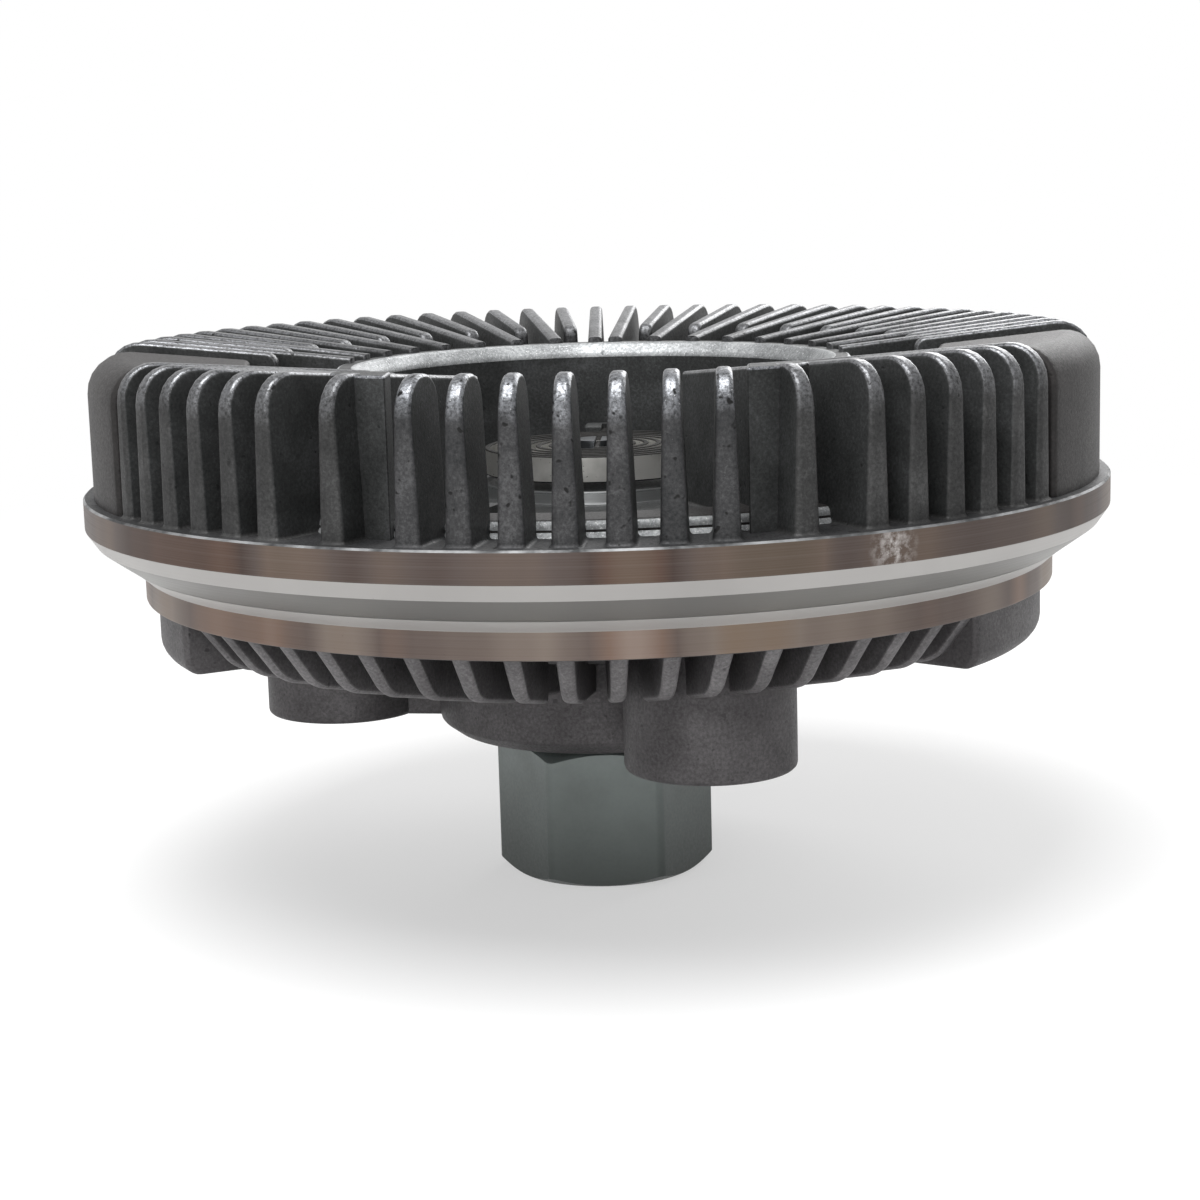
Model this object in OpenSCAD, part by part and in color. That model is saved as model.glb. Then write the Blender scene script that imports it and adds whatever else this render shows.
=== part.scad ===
// Viscous fan clutch: a finned housing that turns on a shaft with a hexagonal nut end.
// Millimetres. The nut end stands on z = 0, and the clutch's axis is +Z.
// Bearings round the axis are counted in degrees from -Y towards +X.
// Heights in the sections below are measured from the flange band's lower edge.

/* [Nut and shaft] */
// Nut width across flats
nut_af = 36; // [32:0.5:41]
// Nut height
nut_h = 27; // [22:0.5:34]
// Turn of the nut about the axis
nut_turn = 3.1; // [0:0.1:30]
// Slope of the nut's corner chamfers
nut_chamfer_deg = 30; // [20:1:40]
// Inset of the nut's round end faces from its flats
nut_face_inset = 0.4; // [0.2:0.1:1]
// Core diameter of the internal thread
thread_core_d = 22.376; // [20:0.001:24]
// Depth of the threaded hole
thread_depth = 24; // [16:0.5:25]
// Width of the chamfer at the thread's mouth
thread_mouth_w = 1.2; // [0.5:0.1:2]
// Diameter of the shaft in the bearing
journal_d = 25; // [24:0.5:26]
// Diameter of the shaft in the rotor
rotor_seat_d = 22; // [18:0.5:23]
// Diameter of the collar under the bearing
collar_d = 32; // [30:0.5:34]
// Shaft end above the rotor's lock ring
shaft_end_h = 1; // [0.6:0.1:1.4]

/* [Housing joint] */
// Radius of the flange band
flange_r = 95; // [94:0.5:98]
// Height of the flange band
flange_h = 5.4; // [4.6:0.1:7]
// Width of the chamfer under the flange band
flange_chamfer_w = 1.9; // [1:0.1:2.6]
// Height of the chamfer under the flange band
flange_chamfer_h = 2.8; // [2:0.1:3.4]
// Width of the rolled lip's cone
lip_w = 5.9; // [5:0.1:6.4]
// Height of the rolled lip's cone
lip_h = 4.2; // [3.6:0.1:4.8]
// Thickness of the rolled lip
lip_t = 2.2; // [1.8:0.1:2.4]
// Width of the flange band past the rear casting's rim
flange_wall_w = 5; // [4.4:0.1:6]
// Clearance round the rim
rim_fit = 0.05; // [0.02:0.01:0.15]
// Width of the chamfer above the rear band
band_chamfer_w = 2.5; // [1.6:0.1:3.2]
// Height of that chamfer
band_chamfer_h = 2.1; // [1.5:0.1:2.6]
// Height of the rear band
band_h = 4.7; // [4:0.1:6]
// Distance of the sealing ring's middle from the rim's edge
seal_ring_inset = 6; // [5.4:0.1:7]
// Section diameter of the sealing ring
seal_ring_d = 1.8; // [1.4:0.1:2.2]
// Side clearance of the sealing ring in its groove
seal_ring_gap = 0.3; // [0.1:0.05:0.5]

/* [Cover fins] */
// Distance of the fins' outer edges from the flange's
fin_inset = 2; // [1:0.1:4]
// Height of the fins' highest point
fin_top = 31.5; // [28:0.5:36]
// Fall of the fins' tops towards the pocket
fin_dish = 4.5; // [2:0.5:7]
// Radius of the fins' outer top corner
fin_corner_r = 7; // [4:0.5:9]
// Fin thickness at the foot
fin_foot_t = 4.4; // [3.6:0.1:4.8]
// Fin thickness at the top
fin_tip_t = 2.6; // [2:0.1:3.4]
// Angle between fins
fin_pitch = 5; // [4.6:0.1:5]
// Inner radius of every other fin
half_fin_r = 60; // [56:0.5:66]
// Length of the short fins in the window
short_fin_l = 12; // [10:0.5:14]
// Radius of the short fins' inner top corner
short_fin_corner_r = 4; // [2:0.5:6]
// Angle between the short fins
short_fin_pitch = 5.1; // [4.8:0.1:5.2]
// Turn of the middle short fin about its outer edge
short_fin_turn = 2.2; // [1:0.1:3]
// Further turn of each short fin on the +X side
short_fin_swing = 4; // [3:0.1:4.4]
// Short fins on each side of the middle one
short_fins = 3; // [2:1:3]
// Bearing of the two fins that close the window
post_fin_at = 23.4; // [22.5:0.1:24.5]
// Bearing of the first long fin
long_fin_at = 31.2; // [30.5:0.1:31.5]
// Long fins on each side
long_fins = 6; // [4:1:6]
// Bearing of the first fin behind the blocks
rear_fin_at = 92.5; // [92.5:0.1:93.5]
// Fins behind the blocks on each side
rear_fins = 18; // [14:1:18]

/* [Posts and blocks] */
// Distance of the posts' outer faces from the fins' outer edges
post_inset = 6.7; // [6:0.1:9]
// Radial size of each post
post_l = 7; // [6:0.5:9]
// Width of each post's outer face on the window's side of its fin
post_w = 6.9; // [5.5:0.1:7.2]
// Width of its inner face there
post_inner_w = 3.8; // [3:0.1:5]
// Width of each post on the other side of its fin
post_back_w = 5.4; // [4:0.1:6]
// Fall of the posts' tops from the fins' highest point
post_fall = 0.3; // [0.2:0.1:0.5]
// Bearing where each block starts
block_from = 58.6; // [58.4:0.1:61]
// Bearing where each block ends
block_to = 86; // [80:0.5:87]
// Radial length of the blocks
block_l = 29; // [21:0.5:32]
// Top of the blocks below the fins' tops
block_fall = 1; // [0.5:0.1:2]

/* [Pocket] */
// Radius of the pocket
pocket_r = 43; // [42:0.5:44]
// Thickness of the pocket's ring wall
pocket_wall_t = 5; // [4:0.1:6]
// Height of the ring wall's top
pocket_wall_top = 26.5; // [22:0.5:27]
// Half the angle over which the ring wall is open
window_half = 23.4; // [22.5:0.1:24]
// Height of the pocket's floor
pocket_floor = 2; // [1.5:0.1:3]
// Thickness of the pocket's floor
pocket_floor_t = 4; // [3:0.1:4.5]
// Radius of the machined ring under the coil
seat_r = 22; // [20:0.5:23]
// Height of the machined ring above the pocket's floor
seat_h = 2.6; // [2.4:0.1:3.4]
// Distance of the low step's outer face from the fins' outer edges
step_inset = 10.5; // [9:0.1:12]
// Width of the low step
step_w = 9; // [7:0.5:11]
// Height of the low step above the flange
step_h = 3.4; // [2.4:0.1:4.4]
// Chamfer of the low step's outer edge
step_chamfer = 1.4; // [0.6:0.1:1.8]
// Half the angle of the hollow between the low step and the pocket
hollow_half = 19; // [17:0.5:19.5]
// Height of its floor above the pocket's
hollow_rise = 0.6; // [0.3:0.1:1.2]

/* [Rear casting] */
// Drop of the bearing hub below the flange band
hub_drop = 42.5; // [41:0.5:46]
// Radius of the bearing hub
hub_r = 31; // [30:0.5:32]
// Running gap between hub and nut
hub_gap = 1; // [0.6:0.1:2]
// Number of fins round the rear casting
body_fins = 60; // [48:2:60]
// Bearing of the first of these fins
body_fin_at = 5.05; // [4.95:0.05:5.15]
// Distance of these fins' outer edges from the band's
body_fin_inset = 1.2; // [0.7:0.1:2.2]
// Width of the slope of their outer edges
body_fin_slope_w = 8; // [5.5:0.5:10.5]
// Drop of the outer tip
body_fin_tip_drop = 22.5; // [20:0.5:25]
// Inner radius of every other one
body_half_fin_r = 58; // [55:0.5:62]
// Drop of the fins there
body_half_fin_drop = 26.5; // [24:0.5:29]
// Drop of the fins at the hub
body_fin_hub_drop = 31; // [28:0.5:35]
// Thickness of these fins at their root
body_fin_root_t = 3.2; // [2.8:0.1:4]
// Thickness of these fins at their edge
body_fin_tip_t = 2.1; // [1.8:0.1:2.8]
// Thickness of the wall under the clutch chamber
shell_t = 7; // [5:0.1:8]
// Width of the slope between the two walls
shell_slope_w = 6; // [4:0.5:9]
// Thickness of the wall under the rotor's well
well_t = 4; // [3:0.1:5]
// Turn of the two shallow lugs about the axis
lug_turn = -2.6; // [-2.8:0.1:-2.4]
// Angle from their middle to where each lug starts
lug_from = 56; // [55.8:0.1:56.2]
// Angle from their middle to where each lug ends
lug_to = 86; // [85.8:0.1:86.2]
// Distance of the lugs' outer faces from the band's
lug_inset = 2.2; // [0.7:0.1:4]
// Radial length of the lugs
lug_l = 20.5; // [14:0.5:24]
// Drop of the lugs
lug_drop = 24; // [21:0.5:26]

/* [Fan bosses] */
// Number of fan bosses
bosses = 3; // [3:1:5]
// Diameter of the bolt circle
boss_pcd = 101; // [98:0.5:103]
// Radius of each boss
boss_r = 15; // [12:0.5:16]
// Drop of the bosses
boss_drop = 40.5; // [36:0.5:42]
// Bearing of the first boss
boss_at = 24.5; // [24:0.1:25]
// Core diameter of the bolt threads
bolt_core_d = 6.8; // [5:0.1:8.5]
// Depth of the bolt holes
bolt_depth = 20; // [12:0.5:20]
// Thickness of the rib from each boss to the hub
boss_rib_t = 12; // [8:0.5:14]

/* [Chamber and rotor] */
// Width of the rear casting's rim round the clutch chamber
rim_w = 10; // [9.5:0.1:10.6]
// Depth of the clutch chamber
chamber_depth = 9.5; // [8.5:0.1:10]
// Gap round the rotor
rotor_gap = 2.5; // [2.4:0.1:3.5]
// Thickness of the rotor's disc
disc_t = 2.5; // [2:0.1:3]
// Gap at the ridges' tips
ridge_tip_gap = 0.7; // [0.4:0.05:1]
// Gap at the ridges' sides
ridge_side_gap = 0.6; // [0.4:0.05:0.8]
// Ridges on each face of the rotor
ridges = 5; // [4:1:5]
// Distance of the innermost ridge's middle from the well
ridge_start = 2; // [1.5:0.1:3]
// Margin of the outermost ridge from the rotor's edge
ridge_margin = 1; // [0.5:0.1:1.5]
// Depth of the rotor's well
well_depth = 17; // [16.5:0.1:18]
// Gap under the rotor's web
web_gap = 1.8; // [1:0.1:2]
// Thickness of the rotor's web
web_t = 2.8; // [2:0.1:3]
// Thickness of the rotor's step wall
step_wall_t = 2.3; // [1.8:0.1:3]
// Gap round the step wall
step_wall_gap = 1.2; // [0.8:0.1:1.5]
// Radius of the rotor's hub
rotor_hub_r = 16.5; // [15:0.1:16.8]
// Thickness of the rotor's lock ring
lock_ring_t = 1.2; // [0.8:0.1:1.3]
// Width of the lock ring
lock_ring_w = 3.5; // [2.5:0.1:4]
// Depth of the lock ring's groove
lock_groove = 1.2; // [0.8:0.1:1.6]
// Opening of the lock ring
lock_ring_open = 24; // [12:1:40]

/* [Reservoir] */
// Radius of the fluid reservoir
reservoir_r = 41; // [39.5:0.1:41.5]
// Thickness of the reservoir's ring
reservoir_t = 6; // [5.5:0.1:6.5]
// Depth of the reservoir's ring
reservoir_depth = 8; // [7.5:0.1:8.2]
// Thickness of the pump plate
plate_t = 1.2; // [0.8:0.1:1.3]
// Radius to the feed port
port_r = 32; // [28:0.5:33]
// Diameter of the feed port
port_d = 6; // [4:0.5:7]
// Number of plate rivets
rivets = 6; // [4:1:8]
// Diameter of the rivets
rivet_d = 2.2; // [1.8:0.1:2.4]
// Diameter of the rivet heads
rivet_head_d = 4; // [3:0.1:4.6]
// Height of the rivet heads
rivet_head_h = 0.8; // [0.5:0.1:0.9]
// Length of the rivets in the cover
rivet_l = 5; // [3:0.1:6]
// Bearing of the two return passages
passage_at = 110; // [108:0.5:112]
// Diameter of the return passages
passage_d = 3; // [2:0.1:3.2]
// Diameter of the plugs
plug_d = 4; // [3.4:0.1:4.2]
// Length of the plugs
plug_l = 5; // [3:0.1:7]
// Depth of the plugs below the flange's surface
plug_inset = 0.6; // [0.4:0.1:1]
// Angle of each pump wiper
wiper_angle = 8; // [5:0.5:10]
// Angle from each pump wiper to its passage
wiper_lead = 4; // [3:0.5:8]
// Clearance round the pump wipers
wiper_gap = 0.3; // [0.2:0.05:0.5]
// Drop of the pump wipers
wiper_drop = 6; // [4:0.1:8]

/* [Bearing] */
// Outer diameter of the bearing
bearing_od = 52; // [51:0.5:53]
// Width of the bearing
bearing_w = 15; // [14.6:0.1:15.4]
// Ball diameter
ball_d = 7.94; // [7.2:0.01:8]
// Number of balls
balls = 9; // [7:1:9]
// Clearance between balls and races
ball_gap = 0.05; // [0.03:0.01:0.1]
// Depth of each race's groove
race_groove = 1.75; // [1.4:0.05:1.9]
// Thickness of the cage
cage_t = 1.9; // [1.4:0.1:2.2]
// Height of the cage
cage_h = 10; // [9.4:0.1:10.4]
// Clearance between balls and cage
cage_gap = 0.12; // [0.06:0.01:0.2]
// Thickness of the bearing's seals
race_seal_t = 1.2; // [0.8:0.1:1.4]
// Depth of the seals below the races' faces
race_seal_inset = 0.4; // [0.2:0.1:0.5]
// Clearance between the seals and the inner race
race_seal_gap = 0.1; // [0.05:0.05:0.3]
// Width of the shoulder above the bearing
shoulder_w = 3.5; // [2.5:0.1:4]
// Thickness of the retaining ring
retainer_t = 1.5; // [1:0.1:1.6]
// Width of the retaining ring
retainer_w = 3.6; // [2.6:0.1:4]
// Depth of the retaining ring's groove
retainer_groove = 1.2; // [0.8:0.1:1.5]
// Distance of the retaining ring from the hub's end
retainer_inset = 1; // [0.8:0.1:1.4]
// Opening of the retaining ring
retainer_open = 30; // [20:1:50]
// Angle that each of its two eyes lies back from its ends, counted for both
retainer_eye_turn = 13; // [11:0.5:16]

/* [Valve] */
// Diameter of the valve shaft
valve_d = 8; // [6:0.1:8.4]
// Clearance of the valve shaft in its bush
valve_fit = 0.05; // [0.02:0.01:0.1]
// Outer diameter of the bush
bush_d = 13; // [12.2:0.1:14]
// Diameter of the valve shaft's collar
valve_collar_d = 11; // [10:0.1:12]
// Play above and below the bush
valve_play = 0.15; // [0.05:0.05:0.3]
// Width of the valve shaft's seal
valve_seal_w = 1.35; // [1:0.05:1.5]
// Height of the valve shaft's seal
valve_seal_h = 1.4; // [1:0.1:1.6]
// Thickness of the clip above the bush
clip_t = 0.8; // [0.6:0.1:1]
// Outer diameter of the clip
clip_d = 13.6; // [12:0.1:14]
// Depth of the clip's groove
clip_groove = 0.8; // [0.5:0.1:1]
// Opening of the clip
clip_open = 90; // [60:5:120]
// Gap between the valve arm and the pump plate
arm_gap = 0.3; // [0.2:0.05:0.5]
// Thickness of the valve arm
arm_t = 1.2; // [0.8:0.1:1.4]
// Width of the valve arm
arm_w = 8; // [6:0.5:10]
// Overlap of the arm's pad past the feed port
arm_lap = 2; // [1:0.1:3]
// Side of the square end that carries the arm
arm_square = 5; // [4:0.1:6]

/* [Bimetal coil] */
// Width of the strip
strip_w = 4.8; // [4:0.1:6]
// Thickness of the strip
strip_t = 1; // [0.8:0.05:1.2]
// Radius of the innermost turn
coil_inner_r = 6.6; // [6:0.1:7.4]
// Pitch of the turns
coil_pitch = 2.4; // [2.1:0.05:2.4]
// Number of half turns
coil_halves = 13; // [11:2:13]
// Gap between the clip and the coil
coil_gap = 0.5; // [0.3:0.1:1]
// Length of the strip's bent ends
tab_l = 6; // [5:0.5:8]
// Clearance of the strip in its slots
slot_fit = 0.05; // [0.03:0.01:0.2]
// Height of the shaft and the post above the coil
slot_rise = 0.8; // [0.3:0.1:1.5]
// Radial size of the coil's post
coil_post_l = 6; // [4:0.5:7]
// Width of the coil's post
coil_post_w = 7; // [5:0.5:9]
// Gap between the coil and its post
coil_post_gap = 1.5; // [1:0.1:2.5]

/* [Hidden] */
$fn = 96;
// Spare length of a cut past the face that it opens
over = 1;
// Depth by which cast features run into the wall that carries them
root = 1.5;
zinc = "#9aa39c";
steel = "#b9bcc0";
cast_dark = "#5b5d60";
cast_pale = "#85878a";
black = "#222426";
bimetal = "#c9c4b8";

// Heights along the axis, from the flange band's lower edge
hub_z = -hub_drop;
nut_top = hub_z - hub_gap;
nut_z = nut_top - nut_h;
flange_z = -nut_z;
retainer_z = hub_z + retainer_inset;
bearing_z = retainer_z + retainer_t;
bearing_top = bearing_z + bearing_w;
bearing_mid = bearing_z + bearing_w / 2;
web_z = -well_depth + web_gap;
web_top = web_z + web_t;
lock_ring_top = web_top + lock_ring_t;
shaft_top = lock_ring_top + shaft_end_h;
disc_z = -(chamber_depth + disc_t) / 2;
disc_top = disc_z + disc_t;
ridge_h = (chamber_depth - disc_t) / 2 - ridge_tip_gap;
plate_top = -reservoir_depth;
plate_z = plate_top - plate_t;
arm_z = plate_top + arm_gap;
arm_top = arm_z + arm_t;
ceiling_z = pocket_floor - pocket_floor_t;
seat_top = pocket_floor + seat_h;
clip_z = seat_top + valve_play;
clip_top = clip_z + clip_t;
coil_z = clip_top + coil_gap;
coil_top = coil_z + strip_w;
passage_z = flange_h / 2;

// Radii
rim_r = flange_r - flange_wall_w;
band_r = flange_r - flange_chamfer_w - lip_w - band_chamfer_w;
seal_ring_r = rim_r - seal_ring_inset;
chamber_r = rim_r - rim_w;
rotor_r = chamber_r - rotor_gap;
fin_outer_r = flange_r - fin_inset;
short_fin_r = fin_outer_r - short_fin_l;
post_r = fin_outer_r - post_inset;
block_inner_r = fin_outer_r - block_l;
step_r = fin_outer_r - step_inset;
step_inner_r = step_r - step_w;
body_fin_r = band_r - body_fin_inset;
body_fin_tip_r = body_fin_r - body_fin_slope_w;
lug_outer_r = band_r - lug_inset;
lug_inner_r = lug_outer_r - lug_l;
nut_r = nut_af / sqrt(3);
journal_r = journal_d / 2;
rotor_seat_r = rotor_seat_d / 2;
collar_r = collar_d / 2;
thread_core_r = thread_core_d / 2;
bearing_r = bearing_od / 2;
ball_r = ball_d / 2;
ball_circle_r = (journal_r + bearing_r) / 2;
inner_land_r = ball_circle_r - ball_r - ball_gap + race_groove;
outer_land_r = ball_circle_r + ball_r + ball_gap - race_groove;
retainer_r = bearing_r + retainer_groove;
lock_groove_r = rotor_seat_r - lock_groove;
plate_r = reservoir_r + reservoir_t;
step_wall_r = plate_r + step_wall_gap;
well_r = step_wall_r + step_wall_t + step_wall_gap;
rivet_r = reservoir_r + reservoir_t / 2;
pocket_outer_r = pocket_r + pocket_wall_t;
valve_r = valve_d / 2;
bush_r = bush_d / 2;
clip_groove_r = valve_r - clip_groove;
coil_end_r = coil_inner_r + (coil_halves - 1) * coil_pitch / 2;
coil_post_r = coil_end_r + strip_t + coil_post_gap;

// Ridges of the rotor and of the housing take turns from the well to the rotor's edge
ridge_first_r = well_r + ridge_start;
ridge_half_pitch = (rotor_r - ridge_margin - ridge_first_r) / (2 * ridges - 0.5);
ridge_w = ridge_half_pitch - ridge_side_gap;

// Corners of the rolled lip, each a radius and a height
lip_l = norm([lip_w, lip_h]);
lip_start = [flange_r - flange_chamfer_w, -flange_chamfer_h];
lip_end = lip_start - [lip_w, lip_h];
lip_inner = lip_end + [-lip_h, lip_w] * lip_t / lip_l;
band_top = lip_end[1] - band_chamfer_h;
band_z = band_top - band_h;
function lip_seat_z(r) = lip_inner[1] + (r - lip_inner[0]) * lip_h / lip_w;
// Height of the fins' sloping top edge
function fin_edge_z(r, top) = top - fin_dish * (fin_outer_r - fin_corner_r - r) / (fin_outer_r - pocket_outer_r);
// Turn of short fin number i: those on the -X side point at the axis, and the others stand about side by side
function short_fin_turned(i) = i < 0 ? 0 : short_fin_turn + short_fin_swing * i;
// Radius of ridge number i, even ones on the rotor and odd ones on the housing
function ridge_r(i) = ridge_first_r + i * ridge_half_pitch;

module placed() {
    translate([0, 0, flange_z]) children();
}

// Turns a shape that was drawn along +X to a bearing
module at(bearing) {
    rotate([0, 0, bearing - 90]) children();
}

module both_sides() {
    children();
    mirror([1, 0, 0]) children();
}

// Solid of revolution of one rectangle
module ring(r_in, r_out, z_low, z_high) {
    rotate_extrude() translate([r_in, z_low]) square([r_out - r_in, z_high - z_low]);
}

// The same, open over an angle in the middle of its +X side
module open_ring(r_in, r_out, z_low, z_high, open) {
    rotate([0, 0, open / 2]) sector(r_in, r_out, z_low, z_high, 360 - open);
}

module sector(r_in, r_out, z_low, z_high, angle) {
    rotate_extrude(angle = angle) translate([r_in, z_low]) square([r_out - r_in, z_high - z_low]);
}

// Rectangles of the ridges, those of the rotor or those of the housing
module ridge_sections(first, z_low, z_high) {
    for (i = [first : 2 : 2 * ridges - 1])
        translate([ridge_r(i) - ridge_w / 2, z_low]) square([ridge_w, z_high - z_low]);
}

// Plate on edge along +X: its side view is the child, its section tapers from foot to tip
module tapered_plate(r_in, r_out, z_foot, z_tip, foot_t, tip_t) {
    intersection() {
        rotate([90, 0, 0]) linear_extrude(foot_t * 2, center = true) children();
        translate([r_in, 0, 0]) rotate([90, 0, 90]) linear_extrude(r_out - r_in)
            polygon([[-foot_t / 2, z_foot], [foot_t / 2, z_foot], [tip_t / 2, z_tip], [-tip_t / 2, z_tip]]);
    }
}

module drive_shaft() color(zinc) placed() {
    flat_cone_r = nut_af / 2 - nut_face_inset;
    chamfer_h = (nut_r - flat_cone_r) * tan(nut_chamfer_deg);
    difference() {
        union() {
            rotate([0, 0, nut_turn]) intersection() {
                translate([0, 0, nut_z]) cylinder(h = nut_h, r = nut_r, $fn = 6);
                rotate_extrude() polygon([[0, nut_z], [flat_cone_r, nut_z], [nut_r, nut_z + chamfer_h],
                    [nut_r, nut_top - chamfer_h], [flat_cone_r, nut_top], [0, nut_top]]);
            }
            rotate_extrude() polygon([[0, nut_top - root], [collar_r, nut_top - root], [collar_r, bearing_z],
                [journal_r, bearing_z], [journal_r, bearing_top], [rotor_seat_r, bearing_top],
                [rotor_seat_r, web_top], [lock_groove_r, web_top], [lock_groove_r, lock_ring_top],
                [rotor_seat_r, lock_ring_top], [rotor_seat_r, shaft_top], [0, shaft_top]]);
        }
        translate([0, 0, nut_z - over]) cylinder(h = thread_depth + over, r = thread_core_r);
        translate([0, 0, nut_z]) cylinder(h = thread_mouth_w, r1 = thread_core_r + thread_mouth_w, r2 = thread_core_r);
    }
}

module rotor() color(steel) placed() rotate_extrude() {
    polygon([[rotor_seat_r, bearing_top], [rotor_hub_r, bearing_top], [rotor_hub_r, web_z],
        [step_wall_r + step_wall_t, web_z], [step_wall_r + step_wall_t, disc_z], [rotor_r, disc_z],
        [rotor_r, disc_top], [step_wall_r, disc_top], [step_wall_r, web_top], [rotor_seat_r, web_top]]);
    ridge_sections(0, disc_z - ridge_h, disc_top + ridge_h);
}

module rotor_lock_ring() color(steel) placed()
    open_ring(lock_groove_r, lock_groove_r + lock_ring_w, web_top, lock_ring_top, lock_ring_open);

// One race: a ring with the groove that the balls run in
module race(r_in, r_out) placed() rotate_extrude() difference() {
    translate([r_in, bearing_z]) square([r_out - r_in, bearing_w]);
    translate([ball_circle_r, bearing_mid]) circle(r = ball_r + ball_gap);
}

module bearing_inner_race() color(steel) race(journal_r, inner_land_r);

module bearing_outer_race() color(steel) race(outer_land_r, bearing_r);

module each_ball() {
    for (i = [0 : balls - 1])
        at(360 / balls * i) translate([0, 0, bearing_mid]) rotate([0, 90, 0]) children();
}

module bearing_balls() color(steel) placed() each_ball() translate([0, 0, ball_circle_r]) sphere(r = ball_r);

module bearing_cage() color(bimetal) placed() difference() {
    ring(ball_circle_r - cage_t / 2, ball_circle_r + cage_t / 2, bearing_mid - cage_h / 2, bearing_mid + cage_h / 2);
    each_ball() cylinder(h = bearing_r, r = ball_r + cage_gap);
}

module race_seal(z) placed() ring(inner_land_r + race_seal_gap, outer_land_r, z, z + race_seal_t);

module bearing_front_seal() color(black) race_seal(bearing_top - race_seal_inset - race_seal_t);

module bearing_rear_seal() color(black) race_seal(bearing_z + race_seal_inset);

module bearing_retaining_ring() color(steel) placed() {
    eye_r = retainer_w / 2;
    eye_at = retainer_r - retainer_w;
    eye_turn = (retainer_open + retainer_eye_turn) / 2;
    difference() {
        union() {
            open_ring(retainer_r - retainer_w, retainer_r, retainer_z, bearing_z, retainer_open);
            for (side = [-1, 1])
                rotate([0, 0, side * eye_turn]) translate([eye_at, 0, retainer_z])
                    cylinder(h = retainer_t, r = eye_r);
        }
        for (side = [-1, 1])
            rotate([0, 0, side * eye_turn]) translate([eye_at, 0, retainer_z - over])
                cylinder(h = retainer_t + 2 * over, r = eye_r / 2);
    }
}

// Rim, band and wall of the rear casting, as far in as its axis
module body_outline() {
    polygon([[0, 0], [rim_r, 0], [rim_r, lip_seat_z(rim_r)], lip_inner, lip_end, [band_r, band_top],
        [band_r, band_z], [well_r + shell_slope_w, -chamber_depth - shell_t], [well_r, -well_depth - well_t],
        [hub_r, -well_depth - 2 * well_t], [hub_r, hub_z], [0, hub_z]]);
}

// What is hollow in the rear casting: chamber, well, bearing bore and grooves
module body_hollow() {
    difference() {
        polygon([[0, over], [chamber_r, over], [chamber_r, -chamber_depth], [well_r, -chamber_depth],
            [well_r, -well_depth], [bearing_r - shoulder_w, -well_depth], [bearing_r - shoulder_w, bearing_top],
            [bearing_r, bearing_top], [bearing_r, bearing_z], [retainer_r, bearing_z], [retainer_r, retainer_z],
            [bearing_r, retainer_z], [bearing_r, hub_z - over], [0, hub_z - over]]);
        ridge_sections(1, -chamber_depth - over, -chamber_depth + ridge_h);
    }
    groove_w = seal_ring_d + 2 * seal_ring_gap;
    translate([seal_ring_r - groove_w / 2, -seal_ring_d - seal_ring_gap / 2])
        square([groove_w, seal_ring_d + seal_ring_gap / 2 + over]);
}

// Side view of one fin of the rear casting
module body_fin_side(r_in) {
    intersection() {
        polygon([[hub_r - root, band_z], [body_fin_r, band_z + root], [body_fin_tip_r, -body_fin_tip_drop],
            [body_half_fin_r, -body_half_fin_drop], [hub_r - root, -body_fin_hub_drop]]);
        translate([r_in, -hub_drop]) square([flange_r, hub_drop]);
    }
}

module body_fins() {
    for (i = [0 : body_fins - 1])
        at(body_fin_at + 360 / body_fins * i) {
            r_in = i % 2 == 0 ? body_half_fin_r : hub_r - root;
            tapered_plate(r_in, flange_r, band_z + root, -body_fin_hub_drop, body_fin_root_t, body_fin_tip_t)
                body_fin_side(r_in);
        }
}

module each_boss() {
    for (i = [0 : bosses - 1])
        at(boss_at + 360 / bosses * i) children();
}

module rear_body() color(cast_pale) placed() difference() {
    union() {
        rotate_extrude() body_outline();
        body_fins();
        each_boss() {
            translate([boss_pcd / 2, 0, -boss_drop]) cylinder(h = boss_drop - chamber_depth - root, r = boss_r);
            translate([bearing_r + root, -boss_rib_t / 2, -boss_drop])
                cube([boss_pcd / 2 - bearing_r - root, boss_rib_t, boss_drop - chamber_depth - root]);
        }
        rotate([0, 0, lug_turn]) both_sides() at(lug_from)
            sector(lug_inner_r, lug_outer_r, -lug_drop, -chamber_depth - root, lug_to - lug_from);
    }
    rotate_extrude() body_hollow();
    each_boss() translate([boss_pcd / 2, 0, -boss_drop - over]) cylinder(h = bolt_depth + over, d = bolt_core_d);
}

// Flange, rolled lip, floor and reservoir ring of the cover, as far in as its axis
module cover_outline() {
    skirt_r = rim_r + rim_fit;
    polygon([[0, ceiling_z], [reservoir_r, ceiling_z], [reservoir_r, plate_top], [plate_r, plate_top],
        [plate_r, 0], [skirt_r, 0], [skirt_r, lip_seat_z(skirt_r)], lip_inner, lip_end, lip_start, [flange_r, 0],
        [flange_r, flange_h], [0, flange_h]]);
    ridge_sections(1, -ridge_h, over);
}

// Side view of a cover fin: a sloping top edge and a round outer corner
module cover_fin_side(r_in, top) {
    corner = [fin_outer_r - fin_corner_r, top - fin_corner_r];
    polygon([[r_in, flange_h - root], [fin_outer_r, flange_h - root], [fin_outer_r, corner[1]], corner,
        [corner[0], top], [r_in, fin_edge_z(r_in, top)]]);
    translate(corner) circle(r = fin_corner_r);
}

// The same, with its inner top corner round
module short_fin_side() {
    corner = [short_fin_r + short_fin_corner_r, fin_edge_z(short_fin_r, fin_top) - short_fin_corner_r];
    difference() {
        cover_fin_side(short_fin_r, fin_top);
        translate([short_fin_r - over, corner[1]])
            square([short_fin_corner_r + over, short_fin_corner_r + over]);
    }
    translate(corner) circle(r = short_fin_corner_r);
}

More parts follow.
